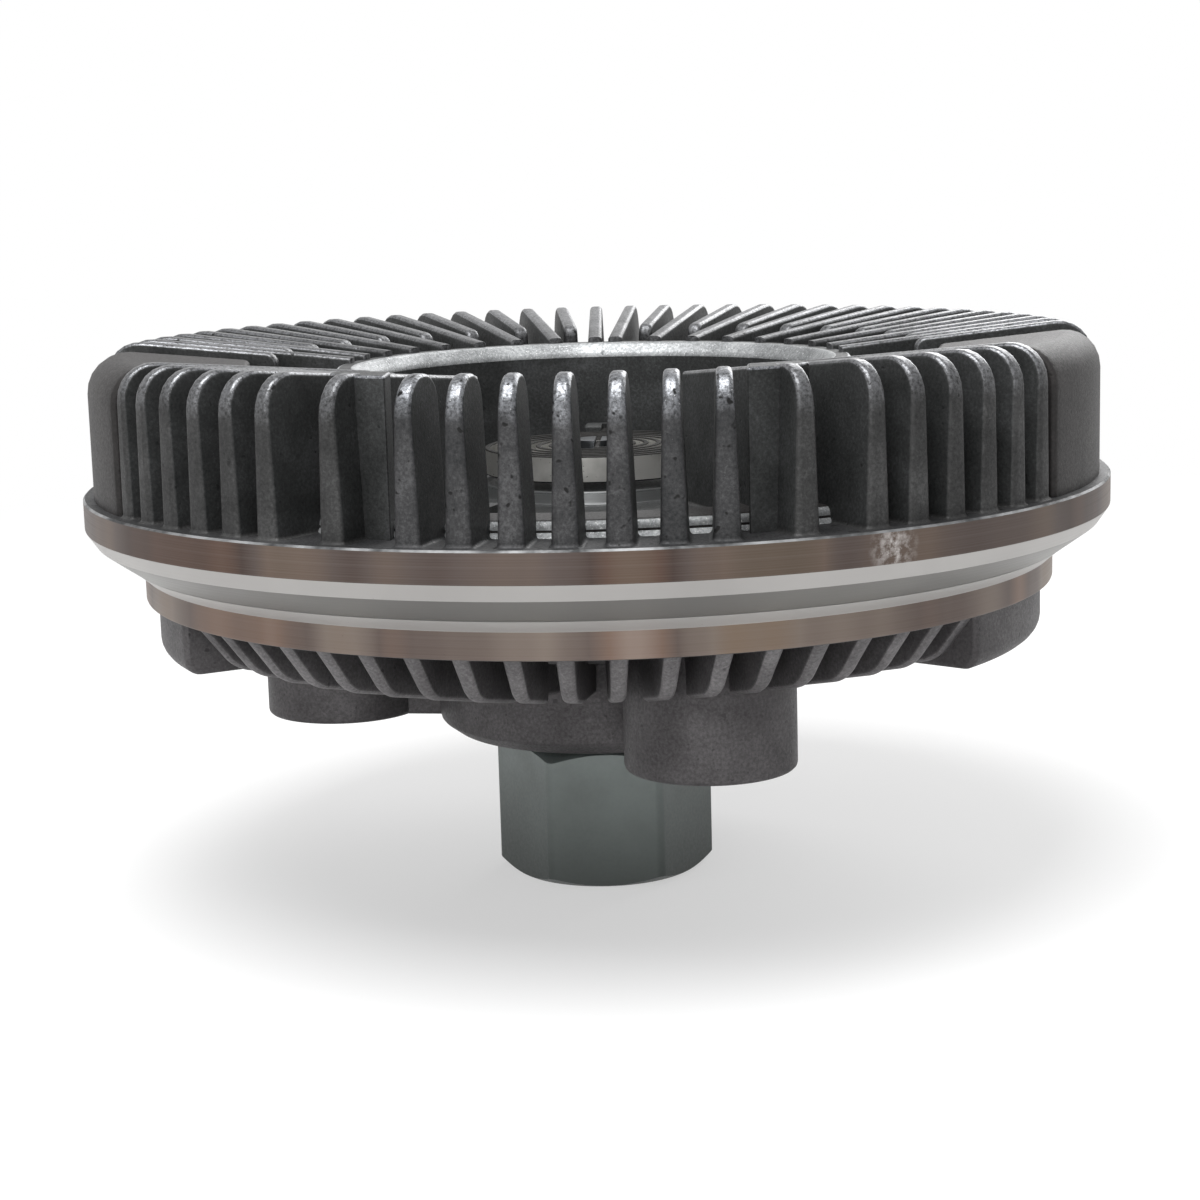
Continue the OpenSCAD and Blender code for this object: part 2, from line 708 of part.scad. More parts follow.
module cover_fin(r_in) {
    tapered_plate(r_in, flange_r, flange_h - root, fin_top, fin_foot_t, fin_tip_t) cover_fin_side(r_in, fin_top);
}

// A row of fins, every other one reaching in to the ring wall
module fin_row(first, count) {
    for (i = [0 : count - 1])
        at(first + fin_pitch * i) cover_fin(i % 2 == 0 ? half_fin_r : pocket_outer_r - root);
}

// Flat-topped post round a fin along +X, with the window on its -Y side
module post() {
    translate([0, 0, flange_h - root]) linear_extrude(fin_top - post_fall - flange_h + root)
        polygon([[post_r, -post_w], [post_r, 0], [post_r - post_l / 2, post_back_w],
            [post_r - post_l, post_back_w], [post_r - post_l, -post_inner_w]]);
}

module cover_fins() {
    for (i = [-short_fins : short_fins])
        at(short_fin_pitch * i) translate([fin_outer_r, 0, 0]) rotate([0, 0, -short_fin_turned(i)])
            translate([-fin_outer_r, 0, 0])
                tapered_plate(short_fin_r, flange_r, flange_h - root, fin_top, fin_foot_t, fin_tip_t)
                    short_fin_side();
    both_sides() {
        at(post_fin_at) {
            cover_fin(pocket_outer_r - root);
            post();
        }
        fin_row(long_fin_at, long_fins);
        at(block_from) rotate_extrude(angle = block_to - block_from)
            cover_fin_side(block_inner_r, fin_top - block_fall);
        fin_row(rear_fin_at, rear_fins);
    }
}

// Low step across the window, from one first long fin to the other
module window_step() {
    step_top = flange_h + step_h;
    at(-long_fin_at) rotate_extrude(angle = 2 * long_fin_at)
        polygon([[step_inner_r - root, flange_h - root], [step_r, flange_h - root], [step_r, step_top - step_chamfer],
            [step_r - step_chamfer, step_top], [step_inner_r - root, step_top]]);
}

// Hollow behind the low step, which lets the air into the pocket
module window_hollow() {
    at(-hollow_half) sector(pocket_r - root, step_inner_r, pocket_floor + hollow_rise, fin_top, 2 * hollow_half);
}

// Cast post with the slot for the coil's outer end
module coil_post() {
    at(180) difference() {
        translate([coil_post_r, -coil_post_w / 2, pocket_floor - root])
            cube([coil_post_l, coil_post_w, coil_top + slot_rise - pocket_floor + root]);
        translate([coil_end_r, -strip_t - slot_fit, coil_z - slot_fit])
            cube([tab_l + slot_fit, strip_t + 2 * slot_fit, coil_top]);
    }
}

// Drilled ways of one fluid return: across the flange, up from the chamber and down into the reservoir
module return_passage() {
    outlet_r = reservoir_r + reservoir_t * 2 / 3;
    outlet_z = -reservoir_depth / 2;
    at(passage_at) {
        translate([outlet_r, 0, passage_z]) rotate([0, 90, 0]) cylinder(h = flange_r, d = passage_d);
        translate([flange_r - plug_inset - plug_l, 0, passage_z]) rotate([0, 90, 0])
            cylinder(h = plug_inset + plug_l + over, d = plug_d);
        translate([(rotor_r + chamber_r) / 2, 0, -over]) cylinder(h = passage_z + over, d = passage_d / 2);
        translate([outlet_r, 0, outlet_z]) cylinder(h = passage_z - outlet_z, d = passage_d);
        translate([reservoir_r - over, 0, outlet_z]) rotate([0, 90, 0])
            cylinder(h = outlet_r - reservoir_r + over, d = passage_d);
    }
}

module each_rivet() {
    for (i = [0 : rivets - 1])
        at(360 / rivets * i) translate([rivet_r, 0, 0]) children();
}

// The cover with its ring wall and fins, and the pocket cut out of them
module finned_cover() difference() {
    union() {
        rotate_extrude() cover_outline();
        at(window_half)
            sector(pocket_r - root, pocket_outer_r, flange_h - root, pocket_wall_top, 360 - 2 * window_half);
        cover_fins();
        window_step();
    }
    translate([0, 0, pocket_floor]) cylinder(h = fin_top, r = pocket_r);
    window_hollow();
}

module front_cover() color(cast_dark) placed() difference() {
    union() {
        finned_cover();
        translate([0, 0, pocket_floor - root]) cylinder(h = seat_h + root, r = seat_r);
        coil_post();
    }
    translate([0, 0, ceiling_z - over]) cylinder(h = seat_top - ceiling_z + 2 * over, r = bush_r);
    both_sides() return_passage();
    each_rivet() translate([0, 0, plate_top - over]) cylinder(h = rivet_l + over, d = rivet_d);
}

module housing_seal_ring() color(black) placed() rotate_extrude()
    translate([seal_ring_r, -(seal_ring_d + seal_ring_gap) / 2]) circle(d = seal_ring_d);

module pump_plate() color(steel) placed() difference() {
    translate([0, 0, plate_z]) cylinder(h = plate_t, r = plate_r);
    at(180) translate([port_r, 0, plate_z - over]) cylinder(h = plate_t + 2 * over, d = port_d);
    each_rivet() translate([0, 0, plate_z - over]) cylinder(h = plate_t + 2 * over, d = rivet_d);
}

module plate_rivets() color(steel) placed() each_rivet() {
    translate([0, 0, plate_z]) cylinder(h = plate_t + rivet_l, d = rivet_d);
    translate([0, 0, plate_z - rivet_head_h])
        cylinder(h = rivet_head_h, d1 = rivet_head_d - rivet_head_h, d2 = rivet_head_d);
}

module pump_wipers() color(black) placed() both_sides() at(passage_at - wiper_lead - wiper_angle)
    sector(rotor_r + wiper_gap, chamber_r - wiper_gap, -wiper_drop, 0, wiper_angle);

module valve_shaft() color(steel) placed() difference() {
    union() {
        rotate_extrude() polygon([[0, arm_top], [valve_collar_d / 2, arm_top],
            [valve_collar_d / 2, ceiling_z - valve_play], [valve_r, ceiling_z - valve_play], [valve_r, clip_z],
            [clip_groove_r, clip_z], [clip_groove_r, clip_top], [valve_r, clip_top],
            [valve_r, coil_top + slot_rise], [0, coil_top + slot_rise]]);
        translate([-arm_square / 2, -arm_square / 2, arm_z]) cube([arm_square, arm_square, arm_t + root]);
    }
    at(0) translate([-valve_d, -slot_fit, coil_z - slot_fit])
        cube([2 * valve_d, strip_t + 2 * slot_fit, strip_w + slot_rise + over]);
}

module valve_arm() color(steel) placed() at(180) translate([0, 0, arm_z]) linear_extrude(arm_t) difference() {
    union() {
        circle(d = valve_collar_d + 2 * arm_lap);
        translate([0, -arm_w / 2]) square([port_r, arm_w]);
        translate([port_r, 0]) circle(d = port_d + 2 * arm_lap);
    }
    square(arm_square, center = true);
}

module valve_shaft_seal() color(black) placed()
    ring(valve_r, valve_r + valve_seal_w, seat_top - valve_seal_h, seat_top);

module valve_shaft_bushing() color(bimetal) placed() difference() {
    ring(valve_r + valve_fit, bush_r, ceiling_z, seat_top);
    seal_seat_r = valve_r + valve_seal_w + valve_fit;
    ring(valve_r, seal_seat_r, seat_top - valve_seal_h - valve_play, seat_top + over);
}

module valve_retaining_clip() color(steel) placed()
    open_ring(clip_groove_r, clip_d / 2, clip_z, clip_top, clip_open);

// Half turns about two centres make the spiral, and its two ends are bent into the slots
module bimetal_coil() color(bimetal) placed() at(0) translate([0, 0, coil_z]) linear_extrude(strip_w) {
    for (i = [0 : coil_halves - 1])
        translate([i % 2 * coil_pitch / 2, 0]) intersection() {
            r = coil_inner_r + i * coil_pitch / 2;
            difference() {
                circle(r = r + strip_t);
                circle(r = r);
            }
            translate([-2 * r, i % 2 == 0 ? 0 : -2 * r]) square([4 * r, 2 * r]);
        }
    translate([-valve_r, 0]) square([valve_r + coil_inner_r + strip_t, strip_t]);
    translate([-coil_end_r - tab_l, 0]) square([tab_l, strip_t]);
}

module return_passage_plugs() color(steel) placed() both_sides() at(passage_at)
    translate([flange_r - plug_inset - plug_l, 0, passage_z]) rotate([0, 90, 0]) cylinder(h = plug_l, d = plug_d);

drive_shaft();
rotor();
rotor_lock_ring();
bearing_inner_race();
bearing_outer_race();
bearing_balls();
bearing_cage();
bearing_front_seal();
bearing_rear_seal();
bearing_retaining_ring();
rear_body();
front_cover();
housing_seal_ring();
pump_plate();
plate_rivets();
pump_wipers();
valve_shaft();
valve_arm();
valve_shaft_seal();
valve_shaft_bushing();
valve_retaining_clip();
bimetal_coil();
return_passage_plugs();
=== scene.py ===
"""Looks of a viscous fan clutch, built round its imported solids.

Pieces are modelled in millimetres, with heights measured from the flange band's lower edge, and place()
puts each one into the frame. Bearings round the axis are degrees from -Y towards +X.
"""
import math

import bmesh
import bpy
from mathutils import Matrix, Vector


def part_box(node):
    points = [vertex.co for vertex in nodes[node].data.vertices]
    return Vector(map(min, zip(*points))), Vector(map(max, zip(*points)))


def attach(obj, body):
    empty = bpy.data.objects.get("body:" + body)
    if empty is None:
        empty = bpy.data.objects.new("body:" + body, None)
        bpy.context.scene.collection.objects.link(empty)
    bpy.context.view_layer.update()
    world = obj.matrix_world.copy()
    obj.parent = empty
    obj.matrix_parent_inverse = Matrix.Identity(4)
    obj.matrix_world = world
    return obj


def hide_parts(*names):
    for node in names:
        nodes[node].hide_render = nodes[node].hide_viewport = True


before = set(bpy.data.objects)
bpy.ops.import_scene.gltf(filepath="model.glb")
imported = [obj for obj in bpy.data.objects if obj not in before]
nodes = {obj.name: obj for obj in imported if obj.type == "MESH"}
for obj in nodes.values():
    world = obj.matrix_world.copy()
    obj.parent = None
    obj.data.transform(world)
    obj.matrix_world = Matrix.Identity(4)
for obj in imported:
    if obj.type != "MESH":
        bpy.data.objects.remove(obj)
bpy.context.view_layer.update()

MM = 0.001
# The rear casting's rim ends at the flange band's lower edge
FLANGE_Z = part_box("rear_body")[1].z

# Steps of a full turn for large and small round shapes
TURN_STEPS = 256
SMALL_STEPS = 48
# Depth by which cast features run into the wall that carries them
ROOT = 1.5
# Spare length of a cut past the face that it opens
OVER = 1
# Sideways part of a face's normal past which it counts as a fin's flank
FLANK_SLANT = 0.9
# Upward part of a face's normal past which it counts as leaning back
LEAST_SLOPE = 0.1
# Angles between two faces past which their edge counts as a plate's rim or as sharp, in radians
RIM_ANGLE = 1
SHARP_ANGLE = 0.6
# Distance within which two places count as one
NEAR = 0.01
# Distance within which the sides of a turned shape join
SEAM = 0.0005
# Angle past which shading shows an edge
SMOOTH_DEG = 35
# Mirror image across the YZ plane
MIRROR = Matrix.Scale(-1, 4, (1, 0, 0))
# Values between which most of a noise lies
NOISE_SPAN = (0.3, 0.7)

# Flange band, rolled lip and rear band
FLANGE_R = 95
FLANGE_H = 5.4
FLANGE_CHAMFER = Vector((1.9, 2.8))
LIP = Vector((5.9, 4.2))
LIP_T = 2.2
RIM_R = 90
RIM_FIT = 0.05
BAND_CHAMFER = Vector((2.5, 2.1))
BAND_H = 4.7
BURR = 0.35
# Unevenness of the heights between which a casting goes from raw to a rubbed band that is partly painted
# highlight
RUB_AND_HIGHLIGHT_RAGGED = 1.5
# Scuffed spot on the flange band: its bearing, height, reach and relief
SCUFF_AT = 32
SCUFF_Z = 2.6
SCUFF_R = 5
SCUFF_RELIEF = 12
LIP_START = Vector((FLANGE_R, 0)) - FLANGE_CHAMFER
LIP_END = LIP_START - LIP
LIP_INNER = LIP_END + Vector((-LIP.y, LIP.x)).normalized() * LIP_T
BAND_TOP = LIP_END - BAND_CHAMFER
BAND_R = BAND_TOP.x
BAND_Z = BAND_TOP.y - BAND_H

# Cover fins
FIN_R = 93
FIN_TOP = 31.5
FIN_DISH = 4.5
FIN_CORNER_R = 7
FIN_FOOT_T = 4.4
FIN_TIP_T = 2.6
FIN_EDGE_R = 0.8
FIN_FLARE_R = 0.7
FIN_PITCH = 5
HALF_FIN_R = 60
HALF_FIN_CORNER_R = 2
SHORT_FIN_R = 81
SHORT_FIN_CORNER_R = 4
SHORT_FIN_PITCH = 5.1
SHORT_FIN_TURN = 2.2
SHORT_FIN_SWING = 4
SHORT_FINS = 3
POST_FIN_AT = 23.4
LONG_FIN_AT = 31.2
LONG_FINS = 6
REAR_FIN_AT = 92.5
REAR_FINS = 18

# Posts, blocks, ring wall and low step of the cover
POST_R = 86.3
POST_L = 7
POST_W = 6.9
POST_INNER_W = 3.8
POST_BACK_W = 5.4
POST_FALL = 0.3
POST_EDGE_R = 0.5
BLOCK_FROM = 58.6
BLOCK_TO = 86
BLOCK_R = 64
BLOCK_FALL = 1
BLOCK_EDGE_R = 1
POCKET_R = 43
POCKET_WALL_R = 48
POCKET_WALL_TOP = 26.5
POCKET_WALL_FIT = 0.1
POCKET_WALL_EDGE_R = 0.6
POCKET_CHAMFER = Vector((1.6, 2.2))
POCKET_FLOOR = 2
SEAT_R = 22
SEAT_TOP = 4.6
CEILING_Z = -2
BUSH_R = 6.5
STEP_R = 82.5
STEP_INNER_R = 73.5
STEP_H = 2.7
STEP_ROUND_R = 1.5
STEP_FOOT_W = 0.8
HOLLOW_HALF = 19
HOLLOW_FLOOR = 2.6

# Clutch chamber, reservoir and return passages
CHAMBER_R = 80
CHAMBER_DEPTH = 9.5
WELL_R = 51.7
WELL_DEPTH = 17
RIDGES = 5
RIDGE_FIRST_R = 53.7
RIDGE_HALF_PITCH = 2.4
RIDGE_W = 1.8
RIDGE_H = 2.8
RESERVOIR_R = 41
PLATE_R = 47
PLATE_TOP = -8
RIVETS = 6
RIVET_R = 44
RIVET_D = 2.2
RIVET_L = 5
PASSAGE_AT = 110
PASSAGE_D = 3
PASSAGE_OUTLET_R = 45
PASSAGE_INLET_R = 78.75
PLUG_D = 4
PLUG_DEPTH = 5.6

# Rear casting
HUB_R = 31
HUB_Z = -42.5
HUB_CHAMFER = Vector((3, 2.2))
BEARING_R = 26
BEARING_TOP = -25
SHOULDER_R = 22.5
RETAINER_R = 27.2
RETAINER_Z = -41.5
RETAINER_TOP = -40
SEAL_GROOVE = (82.8, 85.2)
SEAL_GROOVE_Z = -1.95
SHELL_EDGE = (57.7, -16.5)
SHELL_WELL_Z = -21
SHELL_HUB_Z = -25
BODY_FINS = 60
BODY_FIN_AT = 5.05
BODY_FIN_R = 83.5
BODY_FIN_TIP = (75.5, -22.5)
BODY_HALF_FIN = (58, -26.5)
BODY_FIN_HUB_Z = -31
BODY_FIN_ROOT_T = 3.2
BODY_FIN_TIP_T = 2.1
BODY_FIN_EDGE_R = 0.9
BODY_FIN_CORNER_R = 2.5
LUG_TURN = -2.6
LUG_FROM = 56
LUG_TO = 86
LUG_R = (62, 82.5)
LUG_Z = -24
LUG_CORNER_R = 3
LUG_EDGE_R = 1
BOSSES = 3
BOSS_AT = 24.5
BOSS_CIRCLE_R = 50.5
BOSS_R = 15
BOSS_Z = -40.5
BOSS_STEPS = 96
BOSS_EDGE_R = 0.9
BOSS_RIB_T = 12
BOSS_RIB_LIFT = 0.05
BOSS_RIB_INSET = 2
BOLT_CORE_R = 3.4
BOLT_R = 4
BOLT_PITCH = 1.25
BOLT_DEPTH = 20
BOLT_THREAD_SHARE = 0.7
BOLT_SINK = 0.6
# Height at which the cast features of the rear run into its shell
REAR_ROOT_Z = -CHAMBER_DEPTH - ROOT

# Nut and shaft
NUT_AF = 36
NUT_TOP = -45
NUT_Z = -70.5
NUT_TURN = 3.1
NUT_CORNER = 1.2
NUT_FACE_INSET = 0.4
NUT_CHAMFER_DEG = 30
THREAD_CORE_R = 11.188
THREAD_R = 12
THREAD_PITCH = 1.5
THREAD_DEPTH = 24
THREAD_MOUTH = 1.2
COLLAR_R = 16
JOURNAL_R = 12.5
ROTOR_SEAT_R = 11
LOCK_GROOVE_R = 9.8
LOCK_GROOVE = (-12.4, -11.2)
SHAFT_TOP = -10.2

# Bimetal coil
STRIP_W = 4.8
STRIP_T = 1
STRIP_EDGE_R = 0.22
COIL_Z = 6.05
COIL_R = 6.6
COIL_PITCH = 2.4
COIL_HALVES = 13
COIL_STEPS = 36
COIL_TAB_L = 6
COIL_TAB_FIT = 0.02
VALVE_R = 4
COIL_POST_R = 23.5
COIL_POST_L = 6
COIL_POST_W = 7
COIL_POST_EDGE_R = 0.6
SLOT_FIT = 0.05
SLOT_RISE = 0.8
COIL_TOP = COIL_Z + STRIP_W
COIL_END_R = COIL_R + (COIL_HALVES - 1) * COIL_PITCH / 2


def lip_seat_z(r):
    """Height of the rolled lip's inner face at a radius."""
    return LIP_INNER.y + (r - LIP_INNER.x) * LIP.y / LIP.x


def fin_edge_z(r, top):
    """Height of the cover fins' sloping top edge at a radius."""
    return top - FIN_DISH * (FIN_R - FIN_CORNER_R - r) / (FIN_R - POCKET_WALL_R)


# Materials

def colour(code):
    """Linear colour of a six-digit screen colour."""
    channels = [int(code[i:i + 2], 16) / 255 for i in (0, 2, 4)]
    return (*[c / 12.92 if c <= 0.04045 else ((c + 0.055) / 1.055) ** 2.4 for c in channels], 1)


def add_node(tree, kind, inputs, **settings):
    """One shader node; an input is a plain value or another node's output."""
    made = tree.nodes.new("ShaderNode" + kind)
    for name, value in settings.items():
        setattr(made, name, value)
    for name, value in inputs.items():
        if isinstance(value, bpy.types.NodeSocket):
            tree.links.new(value, made.inputs[name])
        else:
            made.inputs[name].default_value = value
    return made


def new_finish(name, **constants):
    """A material, with the numbers that are the same all over it set on its shader."""
    made = bpy.data.materials.new(name)
    made.use_nodes = True
    shader = made.node_tree.nodes["Principled BSDF"]
    for socket, value in constants.items():
        shader.inputs[socket.replace("_", " ")].default_value = value
    return made, made.node_tree, shader


def noise(tree, point, size, detail=3, roughness=0.55, distortion=0):
    """Noise with blotches about size millimetres across."""
    inputs = {"Vector": point, "Scale": 1 / (size * MM), "Detail": detail, "Roughness": roughness}
    return add_node(tree, "TexNoise", {**inputs, "Distortion": distortion}).outputs["Fac"]


def spread(tree, value, low, high, to_low=0.0, to_high=1.0):
    """Maps one range of values to another."""
    inputs = {"Value": value, "From Min": low, "From Max": high, "To Min": to_low, "To Max": to_high}
    return add_node(tree, "MapRange", inputs).outputs["Result"]


def combine(tree, operation, first, second):
    """One value out of two."""
    return add_node(tree, "Math", {0: first, 1: second}, operation=operation).outputs["Value"]


def ramp(tree, factor, *stops):
    """Colours along a factor, each stop a place and a colour code."""
    made = add_node(tree, "ValToRGB", {"Fac": factor})
    elements = made.color_ramp.elements
    while len(elements) < len(stops):
        elements.new(1)
    for element, (place, code) in zip(elements, stops):
        element.position = place
        element.color = colour(code)
    return made.outputs["Color"]


def mix(tree, factor, first, second):
    """One colour over another, where the factor says, by the node's colour sockets."""
    return add_node(tree, "Mix", {0: factor, 6: first, 7: second}, data_type="RGBA").outputs[2]


def object_point(tree):
    return add_node(tree, "TexCoord", {}).outputs["Object"]


def height_of(tree, point):
    return add_node(tree, "SeparateXYZ", {"Vector": point}).outputs["Z"]


def bump(tree, shader, height, depth):
    """Relief of so many millimetres."""
    made = add_node(tree, "Bump", {"Height": height, "Distance": depth * MM, "Strength": 1.0})
    tree.links.new(made.outputs["Normal"], shader.inputs["Normal"])


def vary_roughness(tree, shader, pattern, roughness, reach):
    """Roughness that a pattern moves by so much to each side."""
    varied = spread(tree, pattern, *NOISE_SPAN, roughness - reach, roughness + reach)
    tree.links.new(varied, shader.inputs["Roughness"])


def cast_metal(name, dark, middle, light, fleck, flecks, metallic, rubbed_and_lit=None, pits=None):
    """Die-cast aluminium with blotches, a fine grain, flecks and small pits.

    Flecks are where the fleck colour starts and is full. A rubbed-and-lit casting goes between two heights to
    a lighter colour, partly wear and partly a painted highlight, with more flecks there as painted glints.
    Pits are the level of their noise and their colour.
    """
    made, tree, shader = new_finish(name, Metallic=metallic, Specular_IOR_Level=0.2)
    point = object_point(tree)
    blotches = noise(tree, point, 11, detail=5, distortion=0.4)
    grain = noise(tree, point, 0.55, detail=4, roughness=0.7)
    halves = [combine(tree, "MULTIPLY", pattern, 0.5) for pattern in (blotches, grain)]
    tone = combine(tree, "ADD", *halves)
    base = ramp(tree, tone, (0.36, dark), (0.52, middle), (0.66, light))
    sparks = noise(tree, point, 0.35, detail=2, roughness=0.8)
    roughness = spread(tree, grain, *NOISE_SPAN, 0.62, 0.46)
    # Lighter band between two heights: partly wear, partly a painted highlight on the rounded shoulders
    if rubbed_and_lit:
        low, high, worn_and_lit = rubbed_and_lit
        height = height_of(tree, point)
        waver = spread(tree, blotches, *NOISE_SPAN, -RUB_AND_HIGHLIGHT_RAGGED * MM, RUB_AND_HIGHLIGHT_RAGGED * MM)
        ragged = combine(tree, "ADD", height, waver)
        share = spread(tree, ragged, FLANGE_Z + low * MM, FLANGE_Z + high * MM)
        rub_and_highlight = combine(tree, "MULTIPLY", share, spread(tree, grain, 0.36, 0.6, 0.1, 1))
        base = mix(tree, rub_and_highlight, base, colour(worn_and_lit))
        sparks = combine(tree, "ADD", sparks, combine(tree, "MULTIPLY", share, 0.12))
        roughness = combine(tree, "SUBTRACT", roughness, combine(tree, "MULTIPLY", share, 0.2))
        tree.links.new(spread(tree, share, 0, 1, metallic, 0.9), shader.inputs["Metallic"])
    base = mix(tree, spread(tree, sparks, *flecks), base, colour(fleck))
    hollows = noise(tree, point, 1.5, detail=1)
    level, pit_colour = pits or (0.28, dark)
    base = mix(tree, spread(tree, hollows, level, level - 0.06), base, colour(pit_colour))
    tree.links.new(base, shader.inputs["Base Color"])
    tree.links.new(roughness, shader.inputs["Roughness"])
    bump(tree, shader, combine(tree, "ADD", grain, spread(tree, hollows, 0.22, 0.3)), 0.045)
    return made


def turned_metal(name, stops, streak_size, metallic, roughness, line_depth, scuff=None):
    """Lathe-turned metal: soft streaks across the band, fine lines round it and perhaps one scuffed spot."""
    made, tree, shader = new_finish(name, Metallic=metallic, Specular_IOR_Level=0.15)
    point = object_point(tree)
    across = add_node(tree, "Mapping", {"Vector": point, "Scale": (1, 1, 0.03)}).outputs["Vector"]
    # On the flange and rear bands these streaks are painted reflections
    streaks = noise(tree, across, streak_size, detail=2, roughness=0.45)
    flat = add_node(tree, "VectorMath", {0: point, 1: (1, 1, 0)}, operation="MULTIPLY").outputs["Vector"]
    radius = add_node(tree, "VectorMath", {0: flat}, operation="LENGTH").outputs["Value"]
    height = height_of(tree, point)
    section = add_node(tree, "CombineXYZ", {"X": radius, "Z": height}).outputs["Vector"]
    lines = noise(tree, section, 0.3, detail=3, roughness=0.7)
    specks = noise(tree, point, 0.5, detail=2)
    base = ramp(tree, streaks, *stops)
    base = mix(tree, spread(tree, lines, 0.35, 0.75, 0, 0.04), base, colour("d8d6d3"))
    base = mix(tree, spread(tree, specks, 0.76, 0.8, 0, 0.6), base, colour("3a3634"))
    relief = lines
    if scuff:
        away = add_node(tree, "VectorMath", {0: point, 1: scuff}, operation="DISTANCE").outputs["Value"]
        torn = noise(tree, point, 1.6, detail=4, roughness=0.7)
        nearness = spread(tree, away, SCUFF_R * MM, 0)
        torn = combine(tree, "MULTIPLY", nearness, spread(tree, torn, 0.42, 0.62))
        base = mix(tree, torn, base, colour("b9b5b3"))
        relief = combine(tree, "ADD", lines, combine(tree, "MULTIPLY", torn, SCUFF_RELIEF))
    tree.links.new(base, shader.inputs["Base Color"])
    vary_roughness(tree, shader, lines, roughness, 0.07)
    bump(tree, shader, relief, line_depth)
    return made


def plain_metal(name, dark, light, metallic, roughness, cloud=7, bottom_shade=None, specular=0.5):
    """Drawn, ground or plated metal, slightly cloudy, perhaps with painted shade from the bottom up to a
    height.
    """
    made, tree, shader = new_finish(name, Metallic=metallic, Specular_IOR_Level=specular)
    point = object_point(tree)
    clouds = noise(tree, point, cloud, detail=4)
    fine = noise(tree, point, 0.6, detail=3)
    base = ramp(tree, clouds, (0.38, dark), (0.62, light))
    if bottom_shade:
        code, top = bottom_shade
        base = mix(tree, spread(tree, height_of(tree, point), top * MM, 0), base, colour(code))
    tree.links.new(base, shader.inputs["Base Color"])
    vary_roughness(tree, shader, fine, roughness, 0.08)
    bump(tree, shader, fine, 0.012)
    return made


def dull_finish(name, dark, light, roughness):
    """Rubber or moulded plastic with a faint texture."""
    made, tree, shader = new_finish(name)
    point = object_point(tree)
    clouds = noise(tree, point, 3, detail=4)
    tree.links.new(ramp(tree, clouds, (0.35, dark), (0.65, light)), shader.inputs["Base Color"])
    fine = noise(tree, point, 0.4)
    vary_roughness(tree, shader, fine, roughness, 0.1)
    bump(tree, shader, fine, 0.02)
    return made


cast_dark = cast_metal("cast_dark", "262727", "383939", "4b4c4d", "77797a", (0.74, 0.82), 0.35)
# Fin noses: the lighter top band is partly wear and partly painted highlight, and the bright flecks are
# partly painted glints
cast_edge = cast_metal("cast_fin_edge", "272829", "3a3a3b", "505051", "d8d9d9", (0.76, 0.86), 0.45,
                       (24.5, 28.5, "7e8084"), (0.34, "1c1c1c"))
cast_long_edge = cast_metal("cast_long_fin_edge", "272727", "383838", "4b4b4b", "b5b6b6", (0.77, 0.87), 0.45,
                            (24, 30.5, "76777a"))
# Lighter copy of the casting for slopes and softened rims that face the light: painted highlight
cast_painted_highlight = cast_metal("cast_painted_highlight", "6a6c6d", "8e9091", "afb1b2", "e0e1e1", (0.6, 0.72), 0.7)
# Darker casting of the blocks; on the low step's top and front it is painted shade
cast_block_and_shade = cast_metal("cast_block_and_shade", "201f1e", "2a2828", "353332", "626161", (0.76, 0.84), 0.2)
cast_pale = cast_metal("cast_pale", "393738", "494748", "595758", "7b7a79", (0.76, 0.84), 0.4)
# Lighter copy of the pale casting on fin noses and softened rims, the flanks left darker: painted light
cast_pale_lit_edge = cast_metal("cast_pale_lit_edge", "4a4849", "605e5f", "767475", "a5a4a3", (0.72, 0.82), 0.5)
burr_line = plain_metal("burr_line", "262728", "8c8d8e", 0.35, 0.5, cloud=9, specular=0.25)
scuff_turn = math.radians(SCUFF_AT)
scuff_spot = (FLANGE_R * MM * math.sin(scuff_turn), -FLANGE_R * MM * math.cos(scuff_turn),
              FLANGE_Z + SCUFF_Z * MM)
# Brown and warm grey streaks round the flange band: painted reflections of warm surroundings
flange_reflection_browns = ((0.3, "50453b"), (0.42, "5a4d44"), (0.5, "4a403c"), (0.58, "3c302b"), (0.66, "4d3b32"),
                 (0.74, "5b4e43"))
flange_metal = turned_metal("turned_flange", flange_reflection_browns, 24, 0.25, 0.42, 0.006, scuff_spot)
chamfer_metal = turned_metal("turned_chamfer", ((0.35, "9a9896"), (0.65, "a3a19f")), 30, 0.5, 0.42, 0.01)
lip_metal = turned_metal("turned_lip", ((0.35, "686765"), (0.65, "73726f")), 30, 0.6, 0.38, 0.015)
# Brown and warm grey streaks round the rear band: painted reflections of warm surroundings
band_reflection_browns = ((0.3, "72604f"), (0.42, "736860"), (0.54, "584d48"), (0.64, "6e5b50"), (0.74, "807168"))
band_metal = turned_metal("turned_band", band_reflection_browns, 22, 0.3, 0.42, 0.006)
bored_metal = turned_metal("turned_bore", ((0.35, "8f9192"), (0.65, "a9abab")), 25, 0.8, 0.33, 0.012)
# The nut's plating goes darker towards the bottom: painted shade.
zinc = plain_metal("zinc_plate", "636967", "717876", 0.3, 0.5, cloud=16, bottom_shade=("3d4240", 26))
